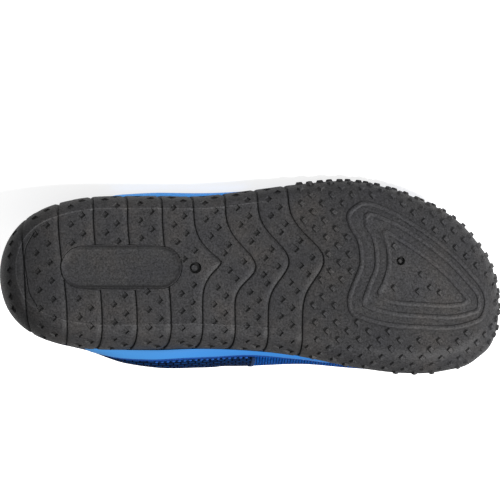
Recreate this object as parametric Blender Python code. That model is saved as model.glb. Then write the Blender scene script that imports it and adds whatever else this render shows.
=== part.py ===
"""A right-foot water shoe lying on its outer side: ribbed rubber sole, soft upper, side bands and insole.

The shoe is drawn in its own frame, with x from heel to toe, y towards the inner side of the foot and
z up from the tread. It is then laid down on the outer edge of its sole and the side of its upper.
Sizes are in metres.
"""

import math

import bmesh
import bpy
import numpy as np
from mathutils import Matrix, Vector
from mathutils.geometry import delaunay_2d_cdt

MM = 0.001

# Driving sizes of the sole
LENGTH = 283.5 * MM
BALL_WIDTH = 108 * MM
WALL_REACH = 10.6 * MM
SOLE_THICKNESS = 4.6 * MM
RIM_WIDTH = 2.4 * MM
TOE_SPRING = 10 * MM
HEEL_SPRING = 1.5 * MM
ARCH_RISE = 1.2 * MM
TOE_SWING = 17 * MM

# Parts of LENGTH where the toe and heel springs and the arch begin and end
TOE_SPRING_FROM = 0.68
HEEL_SPRING_TO = 0.10
ARCH_START = (0.38, 0.45)
ARCH_END = (0.49, 0.56)

# Tread relief
GROOVE_DEPTH = 1.3 * MM
GROOVE_BEVEL = 2.6 * MM
GROOVE_DRAFT = 0.4 * MM
GROOVE_SWEEP = 4.5 * MM
GROOVE_STEP_HALF = 0.3
OVAL_DEPTH = 1.1 * MM
OVAL_CHAMFER = 2.3 * MM
OVAL_HALF = 12.2 * MM
OVAL_SPAN = (0.1265, 0.366)
RIB_HALF = 1.5 * MM
RIB_CREST = 0.6 * MM
RIB_HEIGHT = 0.9 * MM
RIB_INSETS = (0, 6.2 * MM, 12.8 * MM)
RIB_SHIFTS = (0, 2.3 * MM, 2.5 * MM)

# Upper, bands and insole
UPPER_WALL = 2 * MM
INSOLE_THICKNESS = 4 * MM
INSOLE_INSET = 12.2 * MM
INSOLE_FLARE = 2.2 * MM
FLOOR_INSET = 10.4 * MM
GAP = 0.3 * MM
BAND_CLEARANCE = 0.45 * MM
BAND_THICKNESS = 1 * MM
BAND_FOOT = 1.2 * MM
HEEL_LEAN = 7 * MM
HEEL_BULGE = 3 * MM
NOSE_CURL = 15 * MM

# How it lies: lean of the tread from upright in degrees, and how softly the floor presses the upper in
LEAN = 21
PRESS_SOFTNESS = 1 * MM
BAND_EASE = 4 * MM

# Parts of LENGTH: end of the collar, blend from the open collar to the closed vamp, heel and nose curls,
# and where the crest begins to swing towards the big toe
THROAT = 0.45
COLLAR_BLEND = (0.34, 0.52)
HEEL_CURL_TO = 0.2
NOSE_CURL_FROM = 0.8
CREST_SWING_FROM = 0.4

# Mesh fineness
SOLE_POINTS = 132
WALL_TURNS = (22.5, 45, 67.5)
RIB_POINTS = (56, 48, 36)
UPPER_POINTS = 64
UPPER_RINGS = 9
BAND_POINTS = 24
BAND_LEVELS = 5
GRID_STEP = 14 * MM
GRID_ACROSS = 8
FLAT_CUT = 0.25 * MM

# Rim outline: place along LENGTH, then inner and outer reach as shares of BALL_WIDTH
OUTLINE = (
    (0.021, 0.202, 0.201),
    (0.064, 0.311, 0.313),
    (0.155, 0.391, 0.397),
    (0.303, 0.403, 0.412),
    (0.402, 0.398, 0.411),
    (0.501, 0.410, 0.441),
    (0.600, 0.444, 0.472),
    (0.698, 0.496, 0.489),
    (0.797, 0.529, 0.438),
    (0.847, 0.529, 0.387),
    (0.896, 0.507, 0.328),
    (0.931, 0.480, 0.258),
    (0.959, 0.428, 0.172),
    (0.981, 0.370, 0.086),
)

# Rim height: place along LENGTH, height over the tread plane
RIM = (
    (0.00, 22 * MM),
    (0.15, 20 * MM),
    (0.40, 19 * MM),
    (0.68, 17 * MM),
    (0.86, 20 * MM),
    (1.00, 29 * MM),
)

# Grooves: outer end, inner end and apex along LENGTH; apex across and its outer and inner spread
# as shares of BALL_WIDTH; power of the bell
GROOVES = (
    (0.048, 0.060, 0.054, 0.0, 0.1, 0.1, 2.0),
    (0.120, 0.141, 0.130, 0.0, 0.1, 0.1, 2.0),
    (0.190, 0.210, 0.200, 0.0, 0.1, 0.1, 2.0),
    (0.258, 0.279, 0.269, 0.0, 0.1, 0.1, 2.0),
    (0.327, 0.346, 0.337, 0.0, 0.1, 0.1, 2.0),
    (0.389, 0.408, 0.446, -0.027, 0.087, 0.088, 1.4),
    (0.452, 0.472, 0.513, -0.006, 0.143, 0.104, 2.0),
    (0.516, 0.537, 0.580, -0.037, 0.148, 0.139, 2.0),
    (0.576, 0.604, 0.650, -0.048, 0.157, 0.154, 2.0),
)
FIRST_SPLIT_GROOVE = 1
LAST_SPLIT_GROOVE = 4

# Forefoot island: place along LENGTH and across BALL_WIDTH, round its outer rib
ISLAND = (
    (0.722, -0.335),
    (0.775, -0.300),
    (0.835, -0.212),
    (0.888, -0.110),
    (0.935, 0.010),
    (0.968, 0.135),
    (0.963, 0.245),
    (0.916, 0.303),
    (0.833, 0.313),
    (0.750, 0.289),
    (0.698, 0.225),
    (0.704, 0.110),
    (0.722, -0.010),
    (0.716, -0.150),
    (0.696, -0.265),
)

# Upper: place along LENGTH, top height, half opening as a share of the half width
TOP = (
    (0.00, 62 * MM, 0.70),
    (0.08, 62 * MM, 0.70),
    (0.20, 58 * MM, 0.68),
    (0.30, 61 * MM, 0.60),
    (0.38, 70 * MM, 0.44),
    (0.43, 76 * MM, 0.22),
    (0.45, 77 * MM, 0.0),
    (0.55, 71 * MM, 0.0),
    (0.68, 60 * MM, 0.0),
    (0.80, 51 * MM, 0.0),
    (0.90, 46 * MM, 0.0),
    (1.00, 41 * MM, 0.0),
)

# Swell of the upper past its foot in the sole: place along LENGTH, inner side, outer side
SWELL = (
    (0.00, 0 * MM, 0 * MM),
    (0.10, 1 * MM, 1 * MM),
    (0.17, 2 * MM, 2 * MM),
    (0.25, 9 * MM, 6 * MM),
    (0.32, 12 * MM, 8.5 * MM),
    (0.42, 12 * MM, 9.5 * MM),
    (0.50, 11 * MM, 6.5 * MM),
    (0.62, 6 * MM, 1.5 * MM),
    (0.72, 3 * MM, 0 * MM),
    (1.00, 0 * MM, 0 * MM),
)

# Foot of the upper inside the sole: inset from the rim outline, share of the way down to the sole floor
CUP = (
    (RIM_WIDTH, 0.0),
    (3.6 * MM, 0.45),
    (5.4 * MM, 0.79),
    (8.2 * MM, 0.97),
)

# Side bands: start and end along LENGTH
INNER_BAND_SPAN = (0.17, 0.66)
OUTER_BAND_SPAN = (0.22, 0.50)

# Upper edge of the side bands: place along LENGTH, height over the rim
BAND_TOP = (
    (0.17, 7.6 * MM),
    (0.24, 5.8 * MM),
    (0.33, 5.0 * MM),
    (0.43, 4.8 * MM),
    (0.50, 3.1 * MM),
    (0.60, 3.0 * MM),
    (0.66, 2.2 * MM),
)

# Colours
CHARCOAL = (0.06, 0.06, 0.062)
NAVY = (0.01, 0.03, 0.12)
LIGHT_BLUE = (0.08, 0.33, 0.80)
DARK_LINING = (0.02, 0.025, 0.04)


def column(table, index):
    return np.array([row[index] for row in table])


def smooth_curve(knots, values, at):
    """A curve through the values with the slopes of their neighbours."""
    slopes = np.gradient(values, knots)
    i = np.clip(np.searchsorted(knots, at, side="right") - 1, 0, len(knots) - 2)
    width = knots[i + 1] - knots[i]
    t = np.clip((at - knots[i]) / width, 0, 1)
    start = values[i] * (1 + 2 * t) * (1 - t) ** 2 + slopes[i] * width * t * (1 - t) ** 2
    end = values[i + 1] * t * t * (3 - 2 * t) + slopes[i + 1] * width * t * t * (t - 1)
    return start + end


def smooth_step(low, high, at):
    t = np.clip((at - low) / (high - low), 0, 1)
    return t * t * (3 - 2 * t)


def station(theta):
    """Share of the length at an angle round the outline: 0 at the heel, pi at the toe."""
    return (1 - np.cos(theta)) / 2


def outline_points(theta):
    angles = np.arccos(1 - 2 * column(OUTLINE, 0))
    inner = column(OUTLINE, 1) * BALL_WIDTH
    outer = -column(OUTLINE, 2) * BALL_WIDTH
    knots = np.concatenate([[0], angles, [math.pi], 2 * math.pi - angles[::-1], [2 * math.pi]])
    reach = np.concatenate([[0], inner, [TOE_SWING], outer[::-1], [0]])
    knots = np.concatenate([knots[-3:-1] - 2 * math.pi, knots, knots[1:3] + 2 * math.pi])
    reach = np.concatenate([reach[-3:-1], reach, reach[1:3]])
    return np.stack([station(theta) * LENGTH, smooth_curve(knots, reach, theta)], axis=1)


def outline_normals(theta):
    along = outline_points(theta + 1e-3) - outline_points(theta - 1e-3)
    along /= np.linalg.norm(along, axis=1)[:, None]
    return np.stack([-along[:, 1], along[:, 0]], axis=1)


def rim_height(x):
    return smooth_curve(column(RIM, 0), column(RIM, 1), np.clip(x / LENGTH, 0, 1))


def spring_height(x):
    share = np.clip(x / LENGTH, 0, 1)
    toe = np.clip((share - TOE_SPRING_FROM) / (1 - TOE_SPRING_FROM), 0, 1)
    heel = np.clip(1 - share / HEEL_SPRING_TO, 0, 1)
    return TOE_SPRING * toe**2 + HEEL_SPRING * heel**2


def tread_height(x):
    share = x / LENGTH
    arch = smooth_step(*ARCH_START, share) * (1 - smooth_step(*ARCH_END, share))
    return spring_height(x) + ARCH_RISE * arch


SOLE_ANGLES = np.linspace(0, 2 * math.pi, SOLE_POINTS, endpoint=False)
SOLE_RIM = outline_points(SOLE_ANGLES)
SOLE_NORMALS = outline_normals(SOLE_ANGLES)


def side_floor():
    """Normal and reach of the floor that the outer edge of the sole lies on."""
    lean = math.radians(LEAN)
    normal = np.array([0, -math.cos(lean), math.sin(lean)])
    edge = np.column_stack([SOLE_RIM, rim_height(SOLE_RIM[:, 0])])
    return normal, (edge @ normal).max()


FLOOR_NORMAL, FLOOR_REACH = side_floor()


def nearest(points, line, closed):
    """Distance to a line of points, the segment that is nearest and the place on it."""
    ends = np.roll(line, -1, axis=0) if closed else line[1:]
    starts = line if closed else line[:-1]
    span = ends - starts
    from_start = points[:, None] - starts[None]
    t = np.clip((from_start * span).sum(2) / (span * span).sum(1), 0, 1)
    away = np.linalg.norm(from_start - t[..., None] * span[None], axis=2)
    pick = away.argmin(axis=1)
    rows = np.arange(len(points))
    return away[rows, pick], pick, t[rows, pick]


def from_rim(points):
    """Inset from the rim outline and the plan direction out of the shoe."""
    away, pick, t = nearest(points, SOLE_RIM, True)
    after = np.roll(SOLE_NORMALS, -1, axis=0)
    out = SOLE_NORMALS[pick] * (1 - t[:, None]) + after[pick] * t[:, None]
    return away, out / np.linalg.norm(out, axis=1)[:, None]


def groove_x(row, y):
    outer, inner, apex, across, outer_spread, inner_spread, power = row
    across = across * BALL_WIDTH
    level = (outer + (inner - outer) * smooth_step(-GROOVE_STEP_HALF, GROOVE_STEP_HALF, y / BALL_WIDTH)) * LENGTH
    rise = (apex - (outer + inner) / 2) * LENGTH
    spread = np.where(y < across, outer_spread, inner_spread) * BALL_WIDTH
    return level + rise * np.exp(-((np.abs(y - across) / spread) ** power))


def groove_path(row):
    """The groove's deep edge in plan, swept back where it climbs the wall."""
    y = np.linspace(-0.56, 0.56, 61) * BALL_WIDTH
    points = np.stack([groove_x(row, y), y], axis=1)
    inset, _ = from_rim(points)
    wall = np.clip(1 - inset / WALL_REACH, 0, 1)
    outside = np.abs(y) > side_reach(points[:, 0], y)
    wall[outside] = 1
    points[:, 0] -= GROOVE_SWEEP * wall**2
    return points


def side_reach(x, y):
    """Half width of the rim outline on the side that y lies on."""
    angle = np.arccos(np.clip(1 - 2 * x / LENGTH, -1, 1))
    angle = np.where(y < 0, 2 * math.pi - angle, angle)
    return np.abs(outline_points(angle)[:, 1])


def sideways(line, shift):
    """The line moved by shift to its toe side."""
    along = np.gradient(line, axis=0)
    along /= np.linalg.norm(along, axis=1)[:, None]
    return line + shift * np.stack([along[:, 1], -along[:, 0]], axis=1)


def oval_distance(points):
    first = OVAL_SPAN[0] * LENGTH + OVAL_HALF
    last = OVAL_SPAN[1] * LENGTH - OVAL_HALF
    middle = np.clip(points[:, 0], first, last)
    return np.hypot(points[:, 0] - middle, points[:, 1])


def oval_loop(radius, count=14):
    turn = np.linspace(-math.pi / 2, math.pi / 2, count)
    last = OVAL_SPAN[1] * LENGTH - OVAL_HALF
    first = OVAL_SPAN[0] * LENGTH + OVAL_HALF
    toe_end = np.stack([last + radius * np.cos(turn), radius * np.sin(turn)], axis=1)
    heel_end = np.stack([first - radius * np.cos(turn), -radius * np.sin(turn)], axis=1)
    return np.concatenate([toe_end, heel_end])


def closed_curve(points, count):
    """A smooth closed line through a few points."""
    around = np.concatenate([points[-3:], points, points[:4]])
    knots = np.concatenate([[0], np.cumsum(np.linalg.norm(np.diff(around, axis=0), axis=1))])
    at = np.linspace(knots[3], knots[-4], count, endpoint=False)
    return np.stack([smooth_curve(knots, around[:, i], at) for i in range(2)], axis=1)


def inset_loop(loop, inset):
    """The loop moved inwards, without the points that cross over at its corners."""
    along = np.roll(loop, -1, axis=0) - np.roll(loop, 1, axis=0)
    along /= np.linalg.norm(along, axis=1)[:, None]
    moved = loop + inset * np.stack([-along[:, 1], along[:, 0]], axis=1)
    away, _, _ = nearest(moved, loop, True)
    return moved[away > abs(inset) * 0.985 - 1e-6]


ISLAND_LOOP = closed_curve(np.array(ISLAND) * (LENGTH, BALL_WIDTH), 200)


def rib_loop(inset, shift, count):
    """A line round the island at an inset from its outer rib, shifted towards the toe."""
    return closed_curve(inset_loop(ISLAND_LOOP, inset)[::6] + (shift, 0), count)


RIB_LINES = [rib_loop(inset, shift, 90) for inset, shift in zip(RIB_INSETS, RIB_SHIFTS)]


def split_ends(line, index):
    """The line as drawn, or its two ends outside the heel oval."""
    if not FIRST_SPLIT_GROOVE <= index <= LAST_SPLIT_GROOVE:
        return [line]
    clear = oval_distance(line) > OVAL_HALF
    return [line[clear & (line[:, 1] < 0)], line[clear & (line[:, 1] > 0)]]


GROOVE_PATHS = [groove_path(row) for row in GROOVES]


def relief(points):
    """Height of the tread over its plain face, below it where negative."""
    height = np.zeros(len(points))
    for path in GROOVE_PATHS:
        away, _, _ = nearest(points, path, False)
        toe_side = points[:, 0] > np.interp(points[:, 1], path[:, 1], path[:, 0])
        width = np.where(toe_side, GROOVE_DRAFT, GROOVE_BEVEL)
        height = np.minimum(height, -GROOVE_DEPTH * np.clip(1 - away / width, 0, 1))
    in_oval = np.clip((OVAL_HALF - oval_distance(points)) / OVAL_CHAMFER, 0, 1)
    height = np.where(in_oval > 0, -OVAL_DEPTH * in_oval, height)
    for line in RIB_LINES:
        away, _, _ = nearest(points, line, True)
        height += RIB_HEIGHT * np.clip((RIB_HALF - away) / (RIB_HALF - RIB_CREST), 0, 1)
    return height


def underside(points, height):
    """Plan points on the tread and its rounded wall, raised by a height along the face."""
    inset, out = from_rim(points)
    climb = rim_height(points[:, 0]) - tread_height(points[:, 0])
    wall = np.clip(1 - inset / WALL_REACH, 0, 1)
    level = np.sqrt(1 - wall**2)
    steep = np.hypot(wall * climb, level * WALL_REACH)
    face = np.stack([out[:, 0] * wall * climb, out[:, 1] * wall * climb, -level * WALL_REACH], axis=1)
    z = tread_height(points[:, 0]) + climb * (1 - level)
    return np.column_stack([points, z]) + face / steep[:, None] * height[:, None]


def plan_mesh(lines, loops, outer):
    """Triangles inside the outer loop that keep to every line and loop."""
    points = []
    edges = []
    every = [(outer, True)] + [(loop, True) for loop in loops] + [(line, False) for line in lines]
    for line, closed in every:
        first = len(points)
        points.extend(map(tuple, line))
        edges.extend((first + i, first + i + 1) for i in range(len(line) - 1))
        if closed:
            edges.append((first + len(line) - 1, first))
    vectors = [Vector(point) for point in points]
    result = delaunay_2d_cdt(vectors, edges, [list(range(len(outer)))], 1, 1e-6)
    places = np.array([tuple(point) for point in result[0]])
    return places, [tuple(face) for face in result[2]]


def grid_points():
    """Rows of points that carry the curve of the tread between its grooves and ribs."""
    rows = []
    for x in np.arange(GRID_STEP, LENGTH, GRID_STEP):
        y = np.linspace(-0.5, 0.5, GRID_ACROSS + 1) * BALL_WIDTH
        row = np.stack([np.full(len(y), x), y], axis=1)
        inset, _ = from_rim(row)
        inside = np.abs(y) < side_reach(row[:, 0], y)
        rows.extend(row[inside & (inset > WALL_REACH * 1.2)])
    return rows


def boundary_order(faces):
    """The points round the edge of a mesh, in order."""
    sides = set()
    for face in faces:
        sides.update((face[i], face[(i + 1) % len(face)]) for i in range(len(face)))
    follow = {a: b for a, b in sides if (b, a) not in sides}
    order = [min(follow)]
    while follow[order[-1]] != order[0]:
        order.append(follow[order[-1]])
    return order


def add_ring_faces(faces, low, high):
    for i in range(len(low)):
        after = (i + 1) % len(low)
        faces.append((low[i], low[after], high[after], high[i]))


def new_object(name, points, faces, colour, roughness):
    mesh = bpy.data.meshes.new(name)
    mesh.from_pydata([tuple(point) for point in points], [], faces)
    work = bmesh.new()
    work.from_mesh(mesh)
    bmesh.ops.recalc_face_normals(work, faces=work.faces)
    if work.calc_volume(signed=True) < 0:
        bmesh.ops.reverse_faces(work, faces=work.faces)
    bmesh.ops.triangulate(work, faces=work.faces)
    work.to_mesh(mesh)
    work.free()
    material = bpy.data.materials.new(name)
    material.use_nodes = True
    shader = material.node_tree.nodes["Principled BSDF"]
    shader.inputs["Base Color"].default_value = (*colour, 1)
    shader.inputs["Roughness"].default_value = roughness
    material.diffuse_color = (*colour, 1)
    mesh.materials.append(material)
    piece = bpy.data.objects.new(name, mesh)
    bpy.context.scene.collection.objects.link(piece)
    return piece


def floor_height(x):
    return spring_height(x) + SOLE_THICKNESS


def cup_ring(rim_points, out, inset, down):
    """Points at an inset from the rim outline, part of the way from the rim down to the sole floor."""
    plan = rim_points - out * inset
    rim = rim_height(rim_points[:, 0])
    z = rim + (floor_height(plan[:, 0]) - rim) * down
    return np.column_stack([plan, z])


def floor_fill(ring, faces, first):
    """Closes a ring of points with faces across the shoe."""
    result = delaunay_2d_cdt(
        [Vector(point[:2]) for point in ring], [], [list(range(len(ring)))], 1, 1e-7
    )
    for face in result[2]:
        faces.append(tuple(first + result[3][i][0] for i in face))


def make_outsole():
    insets = [WALL_REACH] + [WALL_REACH * (1 - math.sin(math.radians(turn))) for turn in WALL_TURNS]
    loops = [SOLE_RIM - SOLE_NORMALS * inset for inset in insets]
    loops += [oval_loop(OVAL_HALF), oval_loop(OVAL_HALF - OVAL_CHAMFER)]
    for inset, shift, count in zip(RIB_INSETS, RIB_SHIFTS, RIB_POINTS):
        for side in (-RIB_HALF, -RIB_CREST, RIB_CREST, RIB_HALF):
            loops.append(rib_loop(inset + side, shift, count))
    lines = [np.array([point]) for point in grid_points()]
    for index, path in enumerate(GROOVE_PATHS):
        for shift in (-GROOVE_BEVEL, 0, GROOVE_DRAFT):
            line = sideways(path, shift)[::2]
            lines += split_ends(line, index)
    plan, faces = plan_mesh(lines, loops, SOLE_RIM)
    used = sorted({i for face in faces for i in face})
    renumber = {old: new for new, old in enumerate(used)}
    plan = plan[used]
    faces = [tuple(renumber[i] for i in face) for face in faces]
    points = underside(plan, relief(plan))
    edge = boundary_order(faces)
    rim = plan[edge]
    _, out = from_rim(rim)
    rings = [edge]
    for inset, down in CUP + ((FLOOR_INSET, 1.0),):
        first = len(points)
        points = np.concatenate([points, cup_ring(rim, out, inset, down)])
        rings.append(list(range(first, first + len(edge))))
    for low, high in zip(rings, rings[1:]):
        add_ring_faces(faces, low, high)
    floor_fill(points[rings[-1]], faces, rings[-1][0])
    return new_object("outsole", points, faces, CHARCOAL, 0.7)


def upper_foot(theta, inset, down):
    """Outer face of the upper where it stands in the sole, clear of the sole by the gap."""
    plan = outline_points(theta)
    ring = cup_ring(plan, outline_normals(theta), inset + GAP, down)
    ring[:, 2] += GAP * down
    return ring


def side_value(table, theta, inner_column, outer_column):
    share = station(theta)
    inner = smooth_curve(column(table, 0), column(table, inner_column), share)
    outer = smooth_curve(column(table, 0), column(table, outer_column), share)
    return np.where(np.sin(theta) >= 0, inner, outer)


def upper_side(theta, up):
    """Outer face of the upper above the rim: up is 0 at the rim and 1 at the crest or the collar."""
    share = station(theta)
    foot = upper_foot(theta, CUP[0][0], 0)
    top = smooth_curve(column(TOP, 0), column(TOP, 1), share)
    opening = np.clip(smooth_curve(column(TOP, 0), column(TOP, 2), share), 0, 1)
    opening = np.where(share >= THROAT, 0, opening)
    collar = 1 - smooth_step(*COLLAR_BLEND, share)
    height = (1 - collar) * np.sin(up * math.pi / 2) + collar * up
    across = (1 - collar) * np.cos(up * math.pi / 2) ** 0.75 + collar * (1 - up**2.6)
    across = opening + (1 - opening) * np.where(up > 0.9999, 0, across)
    middle = TOE_SWING * smooth_step(CREST_SWING_FROM, 1, share)
    swell = side_value(SWELL, theta, 1, 2) * np.sin(math.pi * up**0.75)
    out = outline_normals(theta)
    heel = np.clip(1 - share / HEEL_CURL_TO, 0, 1) ** 2
    nose = np.clip((share - NOSE_CURL_FROM) / (1 - NOSE_CURL_FROM), 0, 1) ** 2
    lean = heel * (HEEL_LEAN * up**2 - HEEL_BULGE * np.sin(math.pi * up)) - nose * NOSE_CURL * up**2
    x = foot[:, 0] + (share * LENGTH - foot[:, 0]) * up**2 + out[:, 0] * swell + lean
    y = middle + (foot[:, 1] - middle) * across + out[:, 1] * swell
    z = foot[:, 2] + (top - foot[:, 2]) * height
    band_top = smooth_curve(column(BAND_TOP, 0), column(BAND_TOP, 1), share)
    bare = smooth_step(band_top, band_top + BAND_EASE, up * (top - foot[:, 2]))
    return pressed_in(np.stack([x, y, z], axis=1), (BAND_CLEARANCE + BAND_THICKNESS) * (1 - bare))


def pressed_in(points, room):
    """Points moved in from the floor that the shoe lies on, where they would come nearer than room."""
    beyond = points @ FLOOR_NORMAL - FLOOR_REACH + room
    move = (beyond + np.hypot(beyond, PRESS_SOFTNESS)) / 2
    return points - move[:, None] * FLOOR_NORMAL


def shell(name, points, faces, thickness, colour, roughness):
    """A sheet given its wall on the inner side, closed along every open edge."""
    mesh = bpy.data.meshes.new(name + "_sheet")
    mesh.from_pydata([tuple(point) for point in points], [], faces)
    work = bmesh.new()
    work.from_mesh(mesh)
    bmesh.ops.recalc_face_normals(work, faces=work.faces)
    work.normal_update()
    normals = np.array([tuple(vertex.normal) for vertex in work.verts])
    sheet = [tuple(vertex.index for vertex in face.verts) for face in work.faces]
    work.free()
    bpy.data.meshes.remove(mesh)
    points = np.asarray(points)
    middle = points.mean(axis=0)
    if ((points - middle) * normals).sum() < 0:
        normals = -normals
    count = len(points)
    both = np.concatenate([points, points - normals * thickness])
    inner = [tuple(count + i for i in reversed(face)) for face in sheet]
    sides = set()
    for face in sheet:
        sides.update((face[i], face[(i + 1) % len(face)]) for i in range(len(face)))
    edge = [(b, a, a + count, b + count) for a, b in sides if (b, a) not in sides]
    return new_object(name, both, sheet + inner + edge, colour, roughness)


def make_upper():
    theta = np.linspace(0, 2 * math.pi, UPPER_POINTS, endpoint=False)
    rings = [upper_foot(theta, inset, down) for inset, down in reversed(CUP)]
    for step in range(1, UPPER_RINGS + 1):
        rings.append(upper_side(theta, np.full(len(theta), step / UPPER_RINGS)))
    points = np.concatenate(rings)
    last = len(rings) - 1
    place = {}

    def at(ring, i):
        i = i % UPPER_POINTS
        index = ring * UPPER_POINTS + i
        if ring == last and i > UPPER_POINTS / 2 and station(theta[i]) >= THROAT:
            index = ring * UPPER_POINTS + UPPER_POINTS - i
        return place.setdefault(index, len(place))

    faces = []
    for ring in range(last):
        for i in range(UPPER_POINTS):
            face = (at(ring, i), at(ring, i + 1), at(ring + 1, i + 1), at(ring + 1, i))
            faces.append(tuple(dict.fromkeys(face)))
    points = points[list(place)]
    return shell("upper", points, faces, UPPER_WALL, NAVY, 0.85)


def band_sheet(theta):
    """A strip of the upper's own face, raised clear of it, over the angles given."""
    rows = []
    place = station(theta)
    room = smooth_curve(column(TOP, 0), column(TOP, 1), place) - rim_height(place * LENGTH)
    top = smooth_curve(column(BAND_TOP, 0), column(BAND_TOP, 1), place)
    for step in np.linspace(0, 1, BAND_LEVELS):
        up = (BAND_FOOT + (top - BAND_FOOT) * step) / room
        here = upper_side(theta, up)
        along = upper_side(theta + 1e-3, up) - upper_side(theta - 1e-3, up)
        climb = upper_side(theta, up + 1e-3) - upper_side(theta, up - 1e-3)
        out = np.cross(climb, along)
        out /= np.linalg.norm(out, axis=1)[:, None]
        rows.append(here + out * (BAND_CLEARANCE + BAND_THICKNESS))
    faces = []
    count = len(theta)
    for level in range(BAND_LEVELS - 1):
        for i in range(count - 1):
            low = level * count + i
            faces.append((low, low + 1, low + count + 1, low + count))
    return np.concatenate(rows), faces


def angle_at(share, outer_side):
    angle = math.acos(1 - 2 * share)
    return 2 * math.pi - angle if outer_side else angle


def make_bands():
    made = []
    sides = (("side_band_inner", INNER_BAND_SPAN, False), ("side_band_outer", OUTER_BAND_SPAN, True))
    for name, span, outer_side in sides:
        theta = np.linspace(angle_at(span[0], outer_side), angle_at(span[1], outer_side), BAND_POINTS)
        points, faces = band_sheet(theta)
        made.append(shell(name, points, faces, BAND_THICKNESS, LIGHT_BLUE, 0.5))
    return made


def make_insole():
    theta = np.linspace(0, 2 * math.pi, UPPER_POINTS, endpoint=False)
    plan = outline_points(theta)
    out = outline_normals(theta)
    low = plan - out * INSOLE_INSET
    high = plan - out * (INSOLE_INSET - INSOLE_FLARE)
    foot = np.column_stack([low, floor_height(low[:, 0]) + GAP])
    head = np.column_stack([high, floor_height(high[:, 0]) + GAP + INSOLE_THICKNESS])
    count = len(theta)
    faces = []
    add_ring_faces(faces, list(range(count)), list(range(count, 2 * count)))
    floor_fill(foot, faces, 0)
    floor_fill(head, faces, count)
    return new_object("insole", np.concatenate([foot, head]), faces, DARK_LINING, 0.9)


def lie_down(pieces):
    """Turns the shoe onto its outer side, toe towards -x and tread towards -y, and cuts the contacts flat."""
    up = -Vector(FLOOR_NORMAL)
    side = Vector((-1, 0, 0))
    side = (side - up * side.dot(up)).normalized()
    ahead = up.cross(side)
    turn = Matrix((side, ahead, up)).to_4x4()
    for piece in pieces:
        piece.data.transform(turn)
    corners = np.array([tuple(vertex.co) for piece in pieces for vertex in piece.data.vertices])
    low = corners.min(axis=0)
    high = corners.max(axis=0)
    shift = Vector((-(low[0] + high[0]) / 2, -(low[1] + high[1]) / 2, FLOOR_REACH))
    for piece in pieces:
        piece.data.transform(Matrix.Translation(shift))
        for vertex in piece.data.vertices:
            if vertex.co.z < FLAT_CUT:
                vertex.co.z = 0
        piece.data.update()


def main():
    for item in list(bpy.data.objects):
        bpy.data.objects.remove(item)
    outsole = make_outsole()
    upper = make_upper()
    insole = make_insole()
    lie_down([outsole, upper, insole] + make_bands())


main()
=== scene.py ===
"""The water shoe dressed for the render: moulded tread, mesh upper, side bands, collar and insole.

The shoe is drawn in its own frame, with x from heel to toe, y towards the inner side of the foot and z up
from the tread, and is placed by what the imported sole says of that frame. Sizes are in metres.
"""

import math

import bmesh
import bpy
import numpy as np
from mathutils import Matrix, Vector
from mathutils.geometry import delaunay_2d_cdt


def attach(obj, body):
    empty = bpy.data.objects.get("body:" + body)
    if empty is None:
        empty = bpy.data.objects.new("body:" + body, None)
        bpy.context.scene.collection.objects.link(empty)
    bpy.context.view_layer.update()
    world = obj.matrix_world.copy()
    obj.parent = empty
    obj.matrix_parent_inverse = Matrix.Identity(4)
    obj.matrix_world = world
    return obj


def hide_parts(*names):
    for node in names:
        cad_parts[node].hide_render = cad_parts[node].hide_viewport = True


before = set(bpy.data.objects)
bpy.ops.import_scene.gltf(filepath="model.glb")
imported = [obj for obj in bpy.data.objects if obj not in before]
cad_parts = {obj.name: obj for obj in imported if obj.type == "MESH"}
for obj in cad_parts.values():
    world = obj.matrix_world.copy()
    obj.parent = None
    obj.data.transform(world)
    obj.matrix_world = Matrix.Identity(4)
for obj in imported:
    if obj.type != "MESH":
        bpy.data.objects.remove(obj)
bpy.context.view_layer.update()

MM = 0.001

# The part's own sizes
LENGTH = 283.5 * MM
BALL_WIDTH = 108 * MM
WALL_REACH = 10.6 * MM
SOLE_THICKNESS = 4.6 * MM
RIM_WIDTH = 2.4 * MM
TOE_SPRING = 10 * MM
HEEL_SPRING = 1.5 * MM
ARCH_RISE = 1.2 * MM
TOE_SWING = 17 * MM
TOE_SPRING_FROM = 0.68
HEEL_SPRING_TO = 0.10
ARCH_START = (0.38, 0.45)
ARCH_END = (0.49, 0.56)
SOLE_POINTS = 132

# Tread relief
GROOVE_DEPTH = 1.3 * MM
GROOVE_BEVEL = 2.6 * MM
GROOVE_DRAFT = 0.35 * MM
GROOVE_SWEEP = 4.5 * MM
GROOVE_STEP_HALF = 0.3
BEVEL_POWER = 1.25
OVAL_DEPTH = 1.1 * MM
OVAL_CHAMFER = 2.3 * MM
OVAL_HALF = 12.2 * MM
OVAL_SPAN = (0.1265, 0.366)
OVAL_LINE = 0.4 * MM
OVAL_LINE_DEPTH = 0.6 * MM
RIB_HALF = 1.5 * MM
RIB_HEIGHT = 0.9 * MM
RIB_INSETS = (0, 6.2 * MM, 12.8 * MM)
RIB_SHIFTS = (0, 2.3 * MM, 2.5 * MM)
PIT_HALF = 2.3 * MM
PIT_FLOOR = 1.8 * MM
PIT_DEPTH = 0.95 * MM
PIT_ROOM = 1.55 * MM
TOP_ROOM = 1.1
RIB_ROOM = 0.8
PIT_COLUMNS = (0.34, 0.67)
PIT_BEVEL_ROOM = 0.8
PIT_GROWTH = 0.4
PIT_GROWTH_SPAN = (0.2, 0.7)
STUD_HALF = 2.2 * MM
STUD_CREST = 1.5 * MM
STUD_HEIGHT = 1.25 * MM
STUD_STEP = 5.95 * MM
STUD_CLOSING = 0.02 * MM
STUD_PITCH = 4.87 * MM
STUD_SHIFT = 2.2 * MM
STUD_FROM = 0.598
STUD_SKEW = 0.11
CREASE_HALF = 0.5 * MM
CREASE_DEPTH = 0.55 * MM
BEAD_HALF = 0.55 * MM
BEAD_HEIGHT = 0.25 * MM
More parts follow.
